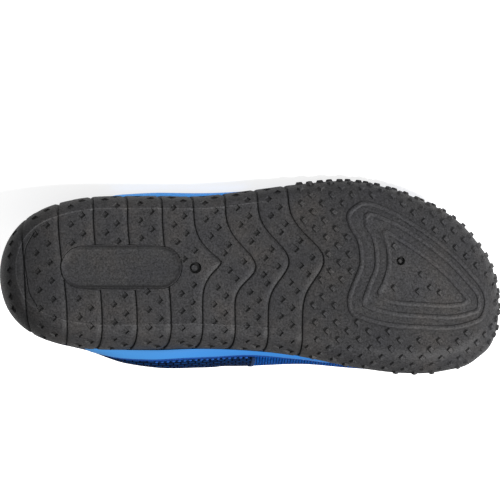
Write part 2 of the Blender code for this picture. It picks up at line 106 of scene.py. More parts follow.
BEAD_SPAN = (0.06, 0.57)

# Moulding plugs: place along LENGTH and across BALL_WIDTH, radius, radius of the disc, its shift to the heel
PLUGS = (
    (0.3931, 0.003, 3.35 * MM, 1.9 * MM, 0.6 * MM),
    (0.799, -0.0356, 2.5 * MM, 1.35 * MM, 0.2 * MM),
)
PLUG_ROOM = 1 * MM
PLUG_DEPTH = 1.6 * MM
PLUG_DISC_DEPTH = 0.25 * MM
PLUG_DRAFT = 0.3 * MM

# Upper, bands and insole
UPPER_WALL = 2 * MM
INSOLE_THICKNESS = 4 * MM
INSOLE_INSET = 12.2 * MM
INSOLE_FLARE = 2.2 * MM
FLOOR_INSET = 10.4 * MM
GAP = 0.3 * MM
BAND_CLEARANCE = 0.45 * MM
BAND_THICKNESS = 1 * MM
BAND_FOOT = 1.2 * MM
HEEL_LEAN = 7 * MM
HEEL_BULGE = 3 * MM
NOSE_CURL = 15 * MM
LEAN = 21
PRESS_SOFTNESS = 1 * MM
BAND_EASE = 4 * MM
THROAT = 0.45
COLLAR_BLEND = (0.34, 0.52)
HEEL_CURL_TO = 0.2
CREST_FULLNESS = 0.75
COLLAR_FULLNESS = 2.6
SWELL_LOWNESS = 0.75
NOSE_CURL_FROM = 0.8
CREST_SWING_FROM = 0.4
INNER_BAND_SPAN = (0.17, 0.66)
OUTER_BAND_SPAN = (0.22, 0.50)

# Rounding of the bands, and the trim drawn over the upper: piping, stitches, seam tape and hem
BAND_END_ROUND = 6 * MM
BAND_EDGE_POWER = 6
BAND_EDGE_DROP = 0.5
OUTER_BAND_SWELL = 0.8 * MM
PIPING_WIDTH = 1.2 * MM
PIPING_THICKNESS = 0.7 * MM
PIPING_CLEARANCE = 0.1 * MM
STITCH_RISE = 1.0 * MM
STITCH_LIFT = 0.1 * MM
STITCH_HALF = 0.5 * MM
STITCH_LENGTH = 2.0 * MM
STITCH_PITCH = 3.2 * MM
STITCH_SPAN = (0.31, 0.50)
STITCH_SWELL = (0.25, 0.85, 1, 0.85, 0.25)
KNIT_FROM = 0.51
SEAM_BLEND = 0.002
SEAM_HALF = 1.3 * MM
SEAM_RAISE = 0.45 * MM
SEAM_SPAN = (0.09, 0.985)
SEAM_PROFILE = ((-1, -1), (-0.8, 0.7), (-0.3, 1), (0.3, 1), (0.8, 0.7), (1, -1))
HEM_RADIUS = 1.9 * MM
HEM_SINK = 0.2
HEM_TO = THROAT - 0.002

# Fineness of the pieces
RIM_POINTS = 400
FOLD_POINTS = 480
WALL_POINTS = 121
GROOVE_POINTS = 265
OVAL_POINTS = 48
CIRCLE_POINTS = 32
ISLAND_POINTS = 200
CREASE_POINTS = 60
RIB_LINE_POINTS = 300
RIB_STRIDE = 6
CORNER_TRIM = 0.985
WALL_LOOPS = 9
RIB_POINTS = (260, 220, 160)
RIB_LOOPS = (-1, -0.85, -0.6, 0, 0.6, 0.85, 1)
GRID_STEP = 3.4 * MM
GRID_ROW = 0.87
GRID_SPAN = (-0.06, 1.08)
GRID_MARGIN = 0.6 * MM
HALF_ACROSS = 0.66
UPPER_POINTS = 320
UPPER_RINGS = 44
BAND_POINTS = 260
BAND_LEVELS = 9
PIPING_LEVELS = 6
STITCH_TURNS = 8
SEAM_POINTS = 70
HEM_POINTS = 110
HEM_TURNS = 14
INSOLE_POINTS = 240

# Rows of points measured at once, and the step that slopes are taken over
CHUNK = 4000
SLOPE_STEP = 1e-3

# Camera, measured on the photograph: its tilt from the sole's own normal, distance and picture scale
VIEW_TILT = math.radians(12)
VIEW_DISTANCE = 1.6
METRES_PER_PIXEL = 0.5611 * MM
PICTURE_SIZE = 500
AIM_X = 142 * MM
AIM_PIXEL_Y = 267

# Studio light: the floor's colour and glow, strength of the sky, what the lamps point at, then each lamp's
# place, width and power
FLOOR_COLOUR = (0.4, 0.4, 0.4)
FLOOR_GLOW = 0.8
SKY = 0.5
LIGHT_AIM = (0, 0, 0.05)
LIGHTS = (
    ("key", (-1.08, -0.63, 1.35), 0.35, 100),
    ("fill", (0.9, -1.3, 0.9), 1.4, 4),
)

# Rim outline: place along LENGTH, then inner and outer reach as shares of BALL_WIDTH
OUTLINE = (
    (0.021, 0.202, 0.201),
    (0.064, 0.311, 0.313),
    (0.155, 0.391, 0.397),
    (0.303, 0.403, 0.412),
    (0.402, 0.398, 0.411),
    (0.501, 0.410, 0.441),
    (0.600, 0.444, 0.472),
    (0.698, 0.496, 0.489),
    (0.797, 0.529, 0.438),
    (0.847, 0.529, 0.387),
    (0.896, 0.507, 0.328),
    (0.931, 0.480, 0.258),
    (0.959, 0.428, 0.172),
    (0.981, 0.370, 0.086),
)

# Rim height: place along LENGTH, height over the tread plane
RIM = (
    (0.00, 22 * MM),
    (0.15, 20 * MM),
    (0.40, 19 * MM),
    (0.68, 17 * MM),
    (0.86, 20 * MM),
    (1.00, 29 * MM),
)

# Grooves: outer end, inner end and apex along LENGTH; apex across and its outer and inner spread
# as shares of BALL_WIDTH; power of the bell
GROOVES = (
    (0.048, 0.060, 0.054, 0.0, 0.1, 0.1, 2.0),
    (0.120, 0.141, 0.130, 0.0, 0.1, 0.1, 2.0),
    (0.190, 0.210, 0.200, 0.0, 0.1, 0.1, 2.0),
    (0.258, 0.279, 0.269, 0.0, 0.1, 0.1, 2.0),
    (0.327, 0.346, 0.337, 0.0, 0.1, 0.1, 2.0),
    (0.389, 0.408, 0.446, -0.027, 0.087, 0.088, 1.4),
    (0.452, 0.472, 0.513, -0.006, 0.143, 0.104, 2.0),
    (0.516, 0.537, 0.580, -0.037, 0.148, 0.139, 2.0),
    (0.576, 0.604, 0.650, -0.048, 0.157, 0.154, 2.0),
)
FIRST_SPLIT_GROOVE = 1
LAST_SPLIT_GROOVE = 4

# Toe side of a groove: distance in drafts, share of the depth
GROOVE_WALL = ((0, 1), (1, 0.14), (2, 0.04), (4, 0))

# Pits of the strip behind each groove: pitch across, place of the toe-side column across
PITS = (
    (10.6 * MM, -2.9 * MM),
    (10.6 * MM, 1.9 * MM),
    (10.3 * MM, -4.6 * MM),
    (10.2 * MM, -1.4 * MM),
    (9.85 * MM, 0.2 * MM),
    (9.75 * MM, -3.4 * MM),
    (9.66 * MM, -0.6 * MM),
    (9.6 * MM, -5.7 * MM),
)

# Forefoot island: place along LENGTH and across BALL_WIDTH, round its outer rib
ISLAND = (
    (0.722, -0.335),
    (0.775, -0.300),
    (0.835, -0.212),
    (0.888, -0.110),
    (0.935, 0.010),
    (0.968, 0.135),
    (0.963, 0.245),
    (0.916, 0.303),
    (0.833, 0.313),
    (0.750, 0.289),
    (0.698, 0.225),
    (0.704, 0.110),
    (0.722, -0.010),
    (0.716, -0.150),
    (0.696, -0.265),
)

# Crest of the upper: place along LENGTH, height over the tread plane, opening as a share of the width
TOP = (
    (0.00, 62 * MM, 0.70),
    (0.08, 62 * MM, 0.70),
    (0.20, 58 * MM, 0.68),
    (0.30, 61 * MM, 0.60),
    (0.38, 70 * MM, 0.44),
    (0.43, 76 * MM, 0.22),
    (0.45, 77 * MM, 0.0),
    (0.55, 71 * MM, 0.0),
    (0.68, 60 * MM, 0.0),
    (0.80, 51 * MM, 0.0),
    (0.90, 46 * MM, 0.0),
    (1.00, 41 * MM, 0.0),
)

# Swell of the upper beyond the rim: place along LENGTH, inner and outer reach
SWELL = (
    (0.00, 0 * MM, 0 * MM),
    (0.10, 1 * MM, 1 * MM),
    (0.17, 2 * MM, 2 * MM),
    (0.25, 9 * MM, 6 * MM),
    (0.32, 12 * MM, 8.5 * MM),
    (0.42, 12 * MM, 9.5 * MM),
    (0.50, 11 * MM, 6.5 * MM),
    (0.62, 6 * MM, 1.5 * MM),
    (0.72, 3 * MM, 0 * MM),
    (1.00, 0 * MM, 0 * MM),
)

# Inside of the sole's wall: inset from the outline, share of the way down from the rim to the sole floor
CUP = (
    (RIM_WIDTH, 0.0),
    (3.6 * MM, 0.45),
    (5.4 * MM, 0.79),
    (8.2 * MM, 0.97),
)

# Insets of the rings along the top of the rim, and how far its rounded top stands up
RIM_INSETS = (0.5 * MM, 1.9 * MM)
RIM_LIFT = 0.35 * MM

# Insole: share of its thickness, how far its edge is drawn in there
INSOLE_LEVELS = (
    (0, 0.4 * MM),
    (0.1, 0),
    (0.5, 0),
    (0.88, 0.1 * MM),
    (1.0, 0.9 * MM),
)

# Upper edge of the side bands: place along LENGTH, height over the rim
BAND_TOP = (
    (0.17, 7.6 * MM),
    (0.24, 5.8 * MM),
    (0.33, 5.0 * MM),
    (0.43, 4.8 * MM),
    (0.50, 3.1 * MM),
    (0.60, 3.0 * MM),
    (0.66, 2.2 * MM),
)

# Row of pits on the heel's wall: place along LENGTH, then the places across
HEEL_PITS = 0.024
HEEL_PITS_ACROSS = (-22.8 * MM, -14.9 * MM, -6.9 * MM, 1.1 * MM, 8.6 * MM, 16.6 * MM, 24.3 * MM)

# Studs inside the forefoot island: place along LENGTH and across BALL_WIDTH
ISLAND_STUDS = (
    (0.787, 0.111),
    (0.835, 0.128),
    (0.859, 0.106),
    (0.878, 0.132),
    (0.841, 0.037),
    (0.788, -0.111),
)

# Crease where the heel's flat tread ends: place along LENGTH and across BALL_WIDTH
HEEL_CREASE = (
    (0.071, -0.181),
    (0.0555, -0.090),
    (0.0543, -0.037),
    (0.0593, 0.053),
    (0.0653, 0.138),
    (0.0794, 0.202),
)

# Painted light on the rubber: how much paler with painted highlights and darker with painted shade it is on
# or in each feature, towards the heel and over the forefoot
BEVEL_SHADE = 0.30
BEVEL_SHADE_RISE = 2.5
OVAL_SHADE = 0.6
BEAD_HIGHLIGHT = 0.6
RIB_HIGHLIGHT_AND_SHADE = 0.18
STUD_HIGHLIGHT = 0.24
PIT_SHADE = 0.06
WALL_PIT_SHADE = 0.5
WALL_PIT_SPAN = (0.3, 0.8)
HEEL_SHADE = 0.40
HEEL_SHADE_SPAN = (0.05, 0.16)
FORE_SHADE = 0.13
FORE_SHADE_SPAN = (0.52, 0.62)
PLUG_SHADE = 0.7

# Colours: stops of each ramp, or the two yarns and the gaps of each knit; what the inner and outer band's
# colours are multiplied by; length, row and stagger of each knit's stitches, in millimetres and a share
RUBBER = (
    (0.32, (0.0118, 0.0118, 0.0131)),
    (0.50, (0.0144, 0.0142, 0.0148)),
    (0.74, (0.0195, 0.0178, 0.0168)),
)
GRAIN = ((0.30, (0.06, 0.06, 0.06)), (0.70, (2.1, 2.1, 2.1)))
NAVY = ((0.0009, 0.0065, 0.028), (0.0020, 0.014, 0.052), (0.0001, 0.0003, 0.0015))
ROYAL = ((0.0014, 0.036, 0.175), (0.0030, 0.060, 0.25), (0.0002, 0.004, 0.025))
BAND = ((0.0, (0.026, 0.113, 0.262)), (0.5, (0.018, 0.097, 0.256)), (1.0, (0.012, 0.083, 0.246)))
# The outer band's gain is painted light: its blue is raised since it lies in shade by the floor
BAND_PAINTED_LIGHT_GAINS = (1, 2.3)
NAVY_STITCH = (4.2, 2.4, 0.5)
ROYAL_STITCH = (1.6, 1.2, 0)
PIPING = (0.0012, 0.030, 0.155)
STITCHES = (0.005, 0.050, 0.22)
LINING = (0.012, 0.016, 0.028)
INSOLE = (0.02, 0.025, 0.04)


def column(table, index):
    return np.array([row[index] for row in table])


def smooth_curve(knots, values, at):
    """A curve through the values with the slopes of their neighbours."""
    slopes = np.gradient(values, knots)
    i = np.clip(np.searchsorted(knots, at, side="right") - 1, 0, len(knots) - 2)
    width = knots[i + 1] - knots[i]
    t = np.clip((at - knots[i]) / width, 0, 1)
    start = values[i] * (1 + 2 * t) * (1 - t) ** 2 + slopes[i] * width * t * (1 - t) ** 2
    end = values[i + 1] * t * t * (3 - 2 * t) + slopes[i + 1] * width * t * t * (t - 1)
    return start + end


def read_curve(table, index, at):
    """The smooth curve of one column of a table over the places in its first."""
    return smooth_curve(column(table, 0), column(table, index), at)


def smooth_step(low, high, at):
    t = np.clip((at - low) / (high - low), 0, 1)
    return t * t * (3 - 2 * t)


def unit(vectors):
    return vectors / np.linalg.norm(vectors, axis=1)[:, None]


def pairs(first, second):
    return np.stack([first, second], axis=1)


def full_turn(count):
    return np.linspace(0, 2 * math.pi, count, endpoint=False)


def run_lengths(points):
    """Length along a line up to each of its points."""
    return np.concatenate([[0], np.cumsum(np.linalg.norm(np.diff(points, axis=0), axis=1))])


def station(theta):
    """Share of the length at an angle round the outline: 0 at the heel, pi at the toe."""
    return (1 - np.cos(theta)) / 2


def outline_points(theta):
    angles = np.arccos(1 - 2 * column(OUTLINE, 0))
    inner = column(OUTLINE, 1) * BALL_WIDTH
    outer = -column(OUTLINE, 2) * BALL_WIDTH
    knots = np.concatenate([[0], angles, [math.pi], 2 * math.pi - angles[::-1], [2 * math.pi]])
    reach = np.concatenate([[0], inner, [TOE_SWING], outer[::-1], [0]])
    knots = np.concatenate([knots[-3:-1] - 2 * math.pi, knots, knots[1:3] + 2 * math.pi])
    reach = np.concatenate([reach[-3:-1], reach, reach[1:3]])
    return pairs(station(theta) * LENGTH, smooth_curve(knots, reach, theta))


def outline_normals(theta):
    along = unit(outline_points(theta + SLOPE_STEP) - outline_points(theta - SLOPE_STEP))
    return pairs(-along[:, 1], along[:, 0])


def rim_height(x):
    return read_curve(RIM, 1, np.clip(x / LENGTH, 0, 1))


def spring_height(x):
    share = np.clip(x / LENGTH, 0, 1)
    toe = np.clip((share - TOE_SPRING_FROM) / (1 - TOE_SPRING_FROM), 0, 1)
    heel = np.clip(1 - share / HEEL_SPRING_TO, 0, 1)
    return TOE_SPRING * toe**2 + HEEL_SPRING * heel**2


def tread_height(x):
    share = x / LENGTH
    arch = smooth_step(*ARCH_START, share) * (1 - smooth_step(*ARCH_END, share))
    return spring_height(x) + ARCH_RISE * arch


def floor_height(x):
    return spring_height(x) + SOLE_THICKNESS


SOLE_RIM = outline_points(full_turn(SOLE_POINTS))


def side_floor():
    """Normal and reach of the floor that the outer edge of the sole lies on."""
    lean = math.radians(LEAN)
    normal = np.array([0, -math.cos(lean), math.sin(lean)])
    edge = np.column_stack([SOLE_RIM, rim_height(SOLE_RIM[:, 0])])
    return normal, (edge @ normal).max()


FLOOR_NORMAL, FLOOR_REACH = side_floor()


def shoe_place():
    """The turn and shift from the shoe's frame to the row's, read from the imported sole."""
    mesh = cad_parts["outsole"].data
    areas = {}
    for face in mesh.polygons:
        if face.normal.y < 0:
            key = tuple(round(value, 2) for value in face.normal)
            areas.setdefault(key, []).append(face)
    flat = max(areas.values(), key=lambda faces: sum(face.area for face in faces))
    up = -sum((face.normal * face.area for face in flat), Vector()).normalized()
    ahead = Vector((0, 1, 0)).cross(up).normalized()
    if ahead.x > 0:
        ahead.negate()
    inner = up.cross(ahead)
    points = np.array([tuple(vertex.co) for vertex in mesh.vertices])
    level = np.median([face.center.dot(up) for face in flat])
    start = ahead * (points @ np.array(ahead)).min()
    side = inner * ((points @ np.array(inner)).max() - SOLE_RIM[:, 1].max())
    turn = Matrix((ahead, inner, up)).transposed()
    return turn, start + side + up * level


TURN, SHIFT = shoe_place()


def to_row(points):
    return np.asarray(points) @ np.array(TURN).T + np.array(SHIFT)


FOLD_ANGLES = full_turn(FOLD_POINTS)
FOLD_NORMALS = outline_normals(FOLD_ANGLES)
FOLD = outline_points(FOLD_ANGLES) - FOLD_NORMALS * WALL_REACH

# The wall's profile, unrolled: length along it from the fold against its turn
TURNS = np.linspace(0, math.pi / 2, WALL_POINTS)
WALL_CLIMB = 18 * MM
PROFILE = pairs(WALL_REACH * np.sin(TURNS), WALL_CLIMB * (1 - np.cos(TURNS)))
UNROLLED = run_lengths(PROFILE)
WALL_LENGTH = UNROLLED[-1]


def nearest(points, line, closed):
    """Distance to a line of points, the segment that is nearest and the place on it."""
    ends = np.roll(line, -1, axis=0) if closed else line[1:]
    starts = line if closed else line[:-1]
    span = ends - starts
    square = (span * span).sum(1)
    away = np.empty(len(points))
    pick = np.empty(len(points), int)
    place = np.empty(len(points))
    for first in range(0, len(points), CHUNK):
        part = slice(first, first + CHUNK)
        from_start = points[part, None] - starts[None]
        t = np.clip((from_start * span).sum(2) / square, 0, 1)
        far = np.linalg.norm(from_start - t[..., None] * span[None], axis=2)
        best = far.argmin(axis=1)
        rows = np.arange(len(best))
        away[part] = far[rows, best]
        pick[part] = best
        place[part] = t[rows, best]
    return away, pick, place


def from_fold(points):
    """Length up the unrolled wall, negative on the flat tread, with the foot on the fold and its normal."""
    away, pick, t = nearest(points, FOLD, True)
    after = (pick + 1) % len(FOLD)
    foot = FOLD[pick] * (1 - t[:, None]) + FOLD[after] * t[:, None]
    out = unit(FOLD_NORMALS[pick] * (1 - t[:, None]) + FOLD_NORMALS[after] * t[:, None])
    side = np.sign(((points - foot) * out).sum(axis=1))
    return away * np.where(side == 0, 1, side), foot, out


def underside(points, height):
    """Points of the unrolled tread folded into place, raised by a height along the face."""
    length, foot, out = from_fold(points)
    turn = np.interp(length, UNROLLED, TURNS)
    on_wall = length > 0
    plan = np.where(on_wall[:, None], foot + out * (WALL_REACH * np.sin(turn))[:, None], points)
    climb = rim_height(plan[:, 0]) - tread_height(plan[:, 0])
    z = tread_height(plan[:, 0]) + climb * (1 - np.cos(turn))
    steep = climb * np.sin(turn)
    level = WALL_REACH * np.cos(turn)
    face = np.column_stack([out * steep[:, None], -level]) / np.hypot(steep, level)[:, None]
    return np.column_stack([plan, z]) + face * height[:, None], plan, out


def groove_x(row, y):
    outer, inner, apex, across, outer_spread, inner_spread, power = row
    across = across * BALL_WIDTH
    inner_side = smooth_step(-GROOVE_STEP_HALF, GROOVE_STEP_HALF, y / BALL_WIDTH)
    level = (outer + (inner - outer) * inner_side) * LENGTH
    rise = (apex - (outer + inner) / 2) * LENGTH
    spread = np.where(y < across, outer_spread, inner_spread) * BALL_WIDTH
    return level + rise * np.exp(-((np.abs(y - across) / spread) ** power))


def swept(points):
    """Moves points of the unrolled wall back towards the heel, as the grooves lean there."""
    length = from_fold(points)[0]
    wall = np.clip(length / WALL_LENGTH, 0, 1)
    return points - pairs(GROOVE_SWEEP * wall**2, np.zeros(len(points)))


def groove_path(row):
    y = np.linspace(-HALF_ACROSS, HALF_ACROSS, GROOVE_POINTS) * BALL_WIDTH
    return swept(pairs(groove_x(row, y), y))


def ahead_of(points, path):
    """Which points lie on the toe side of a groove."""
    return points[:, 0] > np.interp(points[:, 1], path[:, 1], path[:, 0])


def sideways(line, shift):
    """The line moved by shift to its toe side."""
    along = unit(np.gradient(line, axis=0))
    return line + shift * pairs(along[:, 1], -along[:, 0])


# Centres of the oval's round ends
OVAL_ENDS = (OVAL_SPAN[0] * LENGTH + OVAL_HALF, OVAL_SPAN[1] * LENGTH - OVAL_HALF)


def oval_distance(points):
    middle = np.clip(points[:, 0], *OVAL_ENDS)
    return np.hypot(points[:, 0] - middle, points[:, 1])


def oval_loop(radius):
    turn = np.linspace(-math.pi / 2, math.pi / 2, OVAL_POINTS)
    first, last = OVAL_ENDS
    toe_end = pairs(last + radius * np.cos(turn), radius * np.sin(turn))
    heel_end = pairs(first - radius * np.cos(turn), -radius * np.sin(turn))
    return np.concatenate([toe_end, heel_end])


def circle(middle, radius):
    turn = full_turn(CIRCLE_POINTS)
    return np.array(middle) + radius * pairs(np.cos(turn), np.sin(turn))


def curve_through(points, count, closed):
    """A smooth line through a few points."""
    if closed:
        points = np.concatenate([points[-3:], points, points[:4]])
    knots = run_lengths(points)
    ends = (knots[3], knots[-4]) if closed else (0, knots[-1])
    at = np.linspace(*ends, count, endpoint=not closed)
    return pairs(*(smooth_curve(knots, points[:, i], at) for i in range(2)))


def inset_loop(loop, inset):
    """The loop moved inwards, without the points that cross over at its corners."""
    along = unit(np.roll(loop, -1, axis=0) - np.roll(loop, 1, axis=0))
    moved = loop + inset * pairs(-along[:, 1], along[:, 0])
    away = nearest(moved, loop, True)[0]
    return moved[away > abs(inset) * CORNER_TRIM - 1e-6]


ISLAND_LOOP = curve_through(np.array(ISLAND) * (LENGTH, BALL_WIDTH), ISLAND_POINTS, True)


def rib_loop(inset, shift, count):
    """A line round the island at an inset from its outer rib, shifted towards the toe."""
    return curve_through(inset_loop(ISLAND_LOOP, inset)[::RIB_STRIDE] + (shift, 0), count, True)


RIB_LINES = [rib_loop(inset, shift, RIB_LINE_POINTS) for inset, shift in zip(RIB_INSETS, RIB_SHIFTS)]
GROOVE_PATHS = [groove_path(row) for row in GROOVES]
PLUG_PLACES = [(np.array([x * LENGTH, y * BALL_WIDTH]), *sizes) for x, y, *sizes in PLUGS]


CREASE = curve_through(np.array(HEEL_CREASE) * (LENGTH, BALL_WIDTH), CREASE_POINTS, False)


def inside_loop(points, loop):
    """Which points lie inside a closed line."""
    after = np.roll(loop, -1, axis=0)
    crossing = (loop[None, :, 1] > points[:, None, 1]) != (after[None, :, 1] > points[:, None, 1])
    slope = (after[:, 0] - loop[:, 0]) / np.where(after[:, 1] == loop[:, 1], 1, after[:, 1] - loop[:, 1])
    at = loop[None, :, 0] + (points[:, None, 1] - loop[None, :, 1]) * slope[None]
    return (crossing & (points[:, None, 0] < at)).sum(axis=1) % 2 == 1


def clear_of_features(points, reach, with_island):
    """Which points leave room round them for a pit or a stud."""
    length = from_fold(points)[0]
    clear = length < WALL_LENGTH - reach * TOP_ROOM
    clear &= oval_distance(points) > OVAL_HALF + reach
    for middle, radius, _, _ in PLUG_PLACES:
        clear &= np.linalg.norm(points - middle, axis=1) > radius + reach + PLUG_ROOM
    for path in GROOVE_PATHS:
        away = nearest(points, path, False)[0]
        ahead = ahead_of(points, path)
        clear &= away > np.where(ahead, GROOVE_DRAFT, GROOVE_BEVEL * PIT_BEVEL_ROOM) + reach
    if with_island:
        for line in RIB_LINES:
            away = nearest(points, line, True)[0]
            clear &= away > RIB_HALF + reach * RIB_ROOM
    return clear


def pit_places():
    """Two staggered columns of pits in each strip between grooves."""
    places = []
    for index, (pitch, offset) in enumerate(PITS):
        for which, share in enumerate(PIT_COLUMNS):
            steps = np.arange(-8, 9) * pitch + offset + (0.5 - 0.5 * which) * pitch
            y = steps[np.abs(steps) < HALF_ACROSS * BALL_WIDTH]
            before = groove_x(GROOVES[index], y)
            after = groove_x(GROOVES[index + 1], y)
            places.append(pairs(before + (after - before) * share, y))
    places = swept(np.concatenate(places))
    places = places[clear_of_features(places, PIT_ROOM, False)]
    return np.concatenate([places, [(HEEL_PITS * LENGTH, y) for y in HEEL_PITS_ACROSS]])


def stud_places():
    """The centred lattice of studs over the forefoot and up its wall."""
    places = []
    for across in range(-18, 19):
        for along in range(0, 32):
            if (along + across) % 2:
                continue
            y = across * STUD_PITCH - STUD_SHIFT
            x = STUD_FROM * LENGTH + STUD_STEP * along - STUD_CLOSING * along**2 + STUD_SKEW * y
            places.append((x, y))
    places = np.array(places)
    clear = clear_of_features(places, STUD_HALF, True)
    clear &= ahead_of(places, GROOVE_PATHS[-1])
    around = places[clear & ~inside_loop(places, RIB_LINES[0])]
    return np.concatenate([around, np.array(ISLAND_STUDS) * (LENGTH, BALL_WIDTH)])


PIT_PLACES = pit_places()
STUD_PLACES = stud_places()
PIT_SIZES = 1 + PIT_GROWTH * smooth_step(*PIT_GROWTH_SPAN, from_fold(PIT_PLACES)[0] / WALL_LENGTH)


def diamond(middle, half):
    return np.array(middle) + half * np.array([(1, 0), (0, 1), (-1, 0), (0, -1)])


def diamond_share(points, places, half, crest, sizes=1):
    """How far each point lies up the side of its nearest diamond: 0 at the foot, 1 on the flat."""
    share = np.zeros(len(points))
    for first in range(0, len(points), CHUNK):
        part = slice(first, first + CHUNK)
        reach = (np.abs(points[part, None] - places[None]).sum(axis=2) / sizes).min(axis=1)
        share[part] = np.clip((half - reach) / (half - crest), 0, 1)
    return share


def relief(points):
    """Height of the tread over its plain face, below it where negative, and the painted light there: how
    much paler under painted highlights, and darker under painted shade, the rubber is.
    """
    height = np.zeros(len(points))
    painted_light = np.ones(len(points))
    length = from_fold(points)[0]
    up_wall = np.clip(length / WALL_LENGTH, 0, 1)
    for path in GROOVE_PATHS:
        away = nearest(points, path, False)[0]
        toe_side = ahead_of(points, path)
        bevel = np.clip(1 - away / GROOVE_BEVEL, 0, 1) ** BEVEL_POWER
        wall = np.interp(away / GROOVE_DRAFT, column(GROOVE_WALL, 0), column(GROOVE_WALL, 1))
        height = np.minimum(height, -GROOVE_DEPTH * np.where(toe_side, wall, bevel))
        # Painted shade on the heel side's bevel of each groove, growing up the wall
        shaded = np.clip(BEVEL_SHADE_RISE * np.array([up_wall, bevel]), 0, 1).prod(axis=0)
        painted_light -= np.where(toe_side, 0, BEVEL_SHADE * shaded)
    oval = oval_distance(points)
    in_oval = np.clip((OVAL_HALF - oval) / OVAL_CHAMFER, 0, 1)
    height = np.where(in_oval > 0, -OVAL_DEPTH * in_oval, height)
    height -= OVAL_LINE_DEPTH * np.clip(1 - np.abs(oval - OVAL_HALF) / OVAL_LINE, 0, 1)
    # Painted shade along the straight sides of the oval's chamfer
    straight = np.clip(np.abs(points[:, 1]) / (OVAL_HALF - OVAL_CHAMFER), 0, 1) ** 3
    painted_light -= OVAL_SHADE * straight * np.sin(math.pi * in_oval)
    away = nearest(points, CREASE, False)[0]
    height -= CREASE_DEPTH * np.clip(1 - away / CREASE_HALF, 0, 1)
    share = points[:, 0] / LENGTH
    fading = smooth_step(0, BEAD_SPAN[0], share)
    fading *= 1 - smooth_step(BEAD_SPAN[1] - BEAD_SPAN[0], BEAD_SPAN[1], share)
    bead = fading * np.clip(1 - np.abs(length) / BEAD_HALF, 0, 1)
    height += BEAD_HEIGHT * bead
    # Painted highlight along the bead on the fold
    painted_light += BEAD_HIGHLIGHT * bead
    # Painted shade towards the heel, and over the forefoot outside the island
    painted_light -= HEEL_SHADE * (1 - smooth_step(*HEEL_SHADE_SPAN, share))
    painted_light -= FORE_SHADE * smooth_step(*FORE_SHADE_SPAN, share) * ~inside_loop(points, RIB_LINES[0])
    for line in RIB_LINES:
        away = nearest(points, line, True)[0]
        crown = 1 - np.clip(away / RIB_HALF, 0, 1) ** 3
        height += RIB_HEIGHT * crown
        # Painted highlight on each rib's crest, painted shade on its flanks
        painted_light += RIB_HIGHLIGHT_AND_SHADE * (2 * crown - 1) * (away < RIB_HALF * 1.01)
    pit = diamond_share(points, PIT_PLACES, PIT_HALF, PIT_FLOOR, PIT_SIZES)
    stud = diamond_share(points, STUD_PLACES, STUD_HALF, STUD_CREST)
    height += STUD_HEIGHT * stud - PIT_DEPTH * pit
    # Painted highlight on the studs' tops
    painted_light += STUD_HIGHLIGHT * stud
    # Painted shade in the pits, darker up the wall
    painted_light -= (PIT_SHADE + WALL_PIT_SHADE * smooth_step(*WALL_PIT_SPAN, up_wall)) * pit
    for middle, radius, disc, shift in PLUG_PLACES:
        hole = np.clip((radius - np.linalg.norm(points - middle, axis=1)) / PLUG_DRAFT, 0, 1)
        from_disc = np.linalg.norm(points - middle + (shift, 0), axis=1)
        filled = np.clip((disc - from_disc) / PLUG_DRAFT, 0, 1)
        height -= hole * (PLUG_DEPTH + (PLUG_DISC_DEPTH - PLUG_DEPTH) * filled)
        # Painted shade in each plug's ring round its disc
        painted_light -= PLUG_SHADE * hole * (1 - filled)
    return height, painted_light


def plan_mesh(lines, loops, outer):
    """Triangles inside the outer loop that keep to every line and loop."""
    points = []
    edges = []
    every = [(outer, True)] + [(loop, True) for loop in loops] + [(line, False) for line in lines]
    for line, closed in every:
        first = len(points)
        points.extend(map(tuple, line))
        edges.extend((first + i, first + i + 1) for i in range(len(line) - 1))
        if closed:
            edges.append((first + len(line) - 1, first))
    vectors = [Vector(point) for point in points]
    result = delaunay_2d_cdt(vectors, edges, [list(range(len(outer)))], 1, 1e-6)
    places = np.array([tuple(point) for point in result[0]])
    used = sorted({i for face in result[2] for i in face})
    renumber = {old: new for new, old in enumerate(used)}
    return places[used], [tuple(renumber[i] for i in face) for face in result[2]]


def grid_points():
    """A staggered grid over the unrolled tread, for evenly sized faces between the features."""
    rows = []
    half = HALF_ACROSS * BALL_WIDTH
    for index, x in enumerate(np.arange(*np.array(GRID_SPAN) * LENGTH, GRID_STEP * GRID_ROW)):
        y = np.arange(-half, half, GRID_STEP) + (index % 2) * GRID_STEP / 2
        rows.append(pairs(np.full(len(y), x), y))
    points = np.concatenate(rows)
    length = from_fold(points)[0]
    return points[length < WALL_LENGTH - GRID_MARGIN]


def open_sides(faces):
    """Sides that belong to one face only."""
    sides = set()
    for face in faces:
        sides.update((face[i], face[(i + 1) % len(face)]) for i in range(len(face)))
    return [(a, b) for a, b in sides if (b, a) not in sides]


def boundary_order(faces):
    """The points round the edge of a mesh, in order."""
    follow = dict(open_sides(faces))
    order = [min(follow)]
    while follow[order[-1]] != order[0]:
        order.append(follow[order[-1]])
    return order


def add_ring_faces(faces, low, high):
    for i in range(len(low)):
        after = (i + 1) % len(low)
        faces.append((low[i], low[after], high[after], high[i]))


def grid_faces(rows, count, rows_meet=False, ends_meet=False, first=0):
    """Faces between rows of points, all of one count, where the last row or point may meet the first."""
    faces = []
    for row in range(rows if rows_meet else rows - 1):
        low = first + row * count
        high = first + (row + 1) % rows * count
        for i in range(count if ends_meet else count - 1):
            after = (i + 1) % count
            faces.append((low + i, low + after, high + after, high + i))
    return faces


def bar_faces(rows, count, first=0):
    """Faces round a bar whose long edges are rows of points, closed at both ends."""
    faces = grid_faces(rows, count, True, False, first)
    faces.append(tuple(first + row * count for row in range(rows)))
    faces.append(tuple(first + row * count + count - 1 for row in reversed(range(rows))))
    return faces


def new_object(name, data):
    thing = bpy.data.objects.new(name, data)
    bpy.context.scene.collection.objects.link(thing)
    return thing


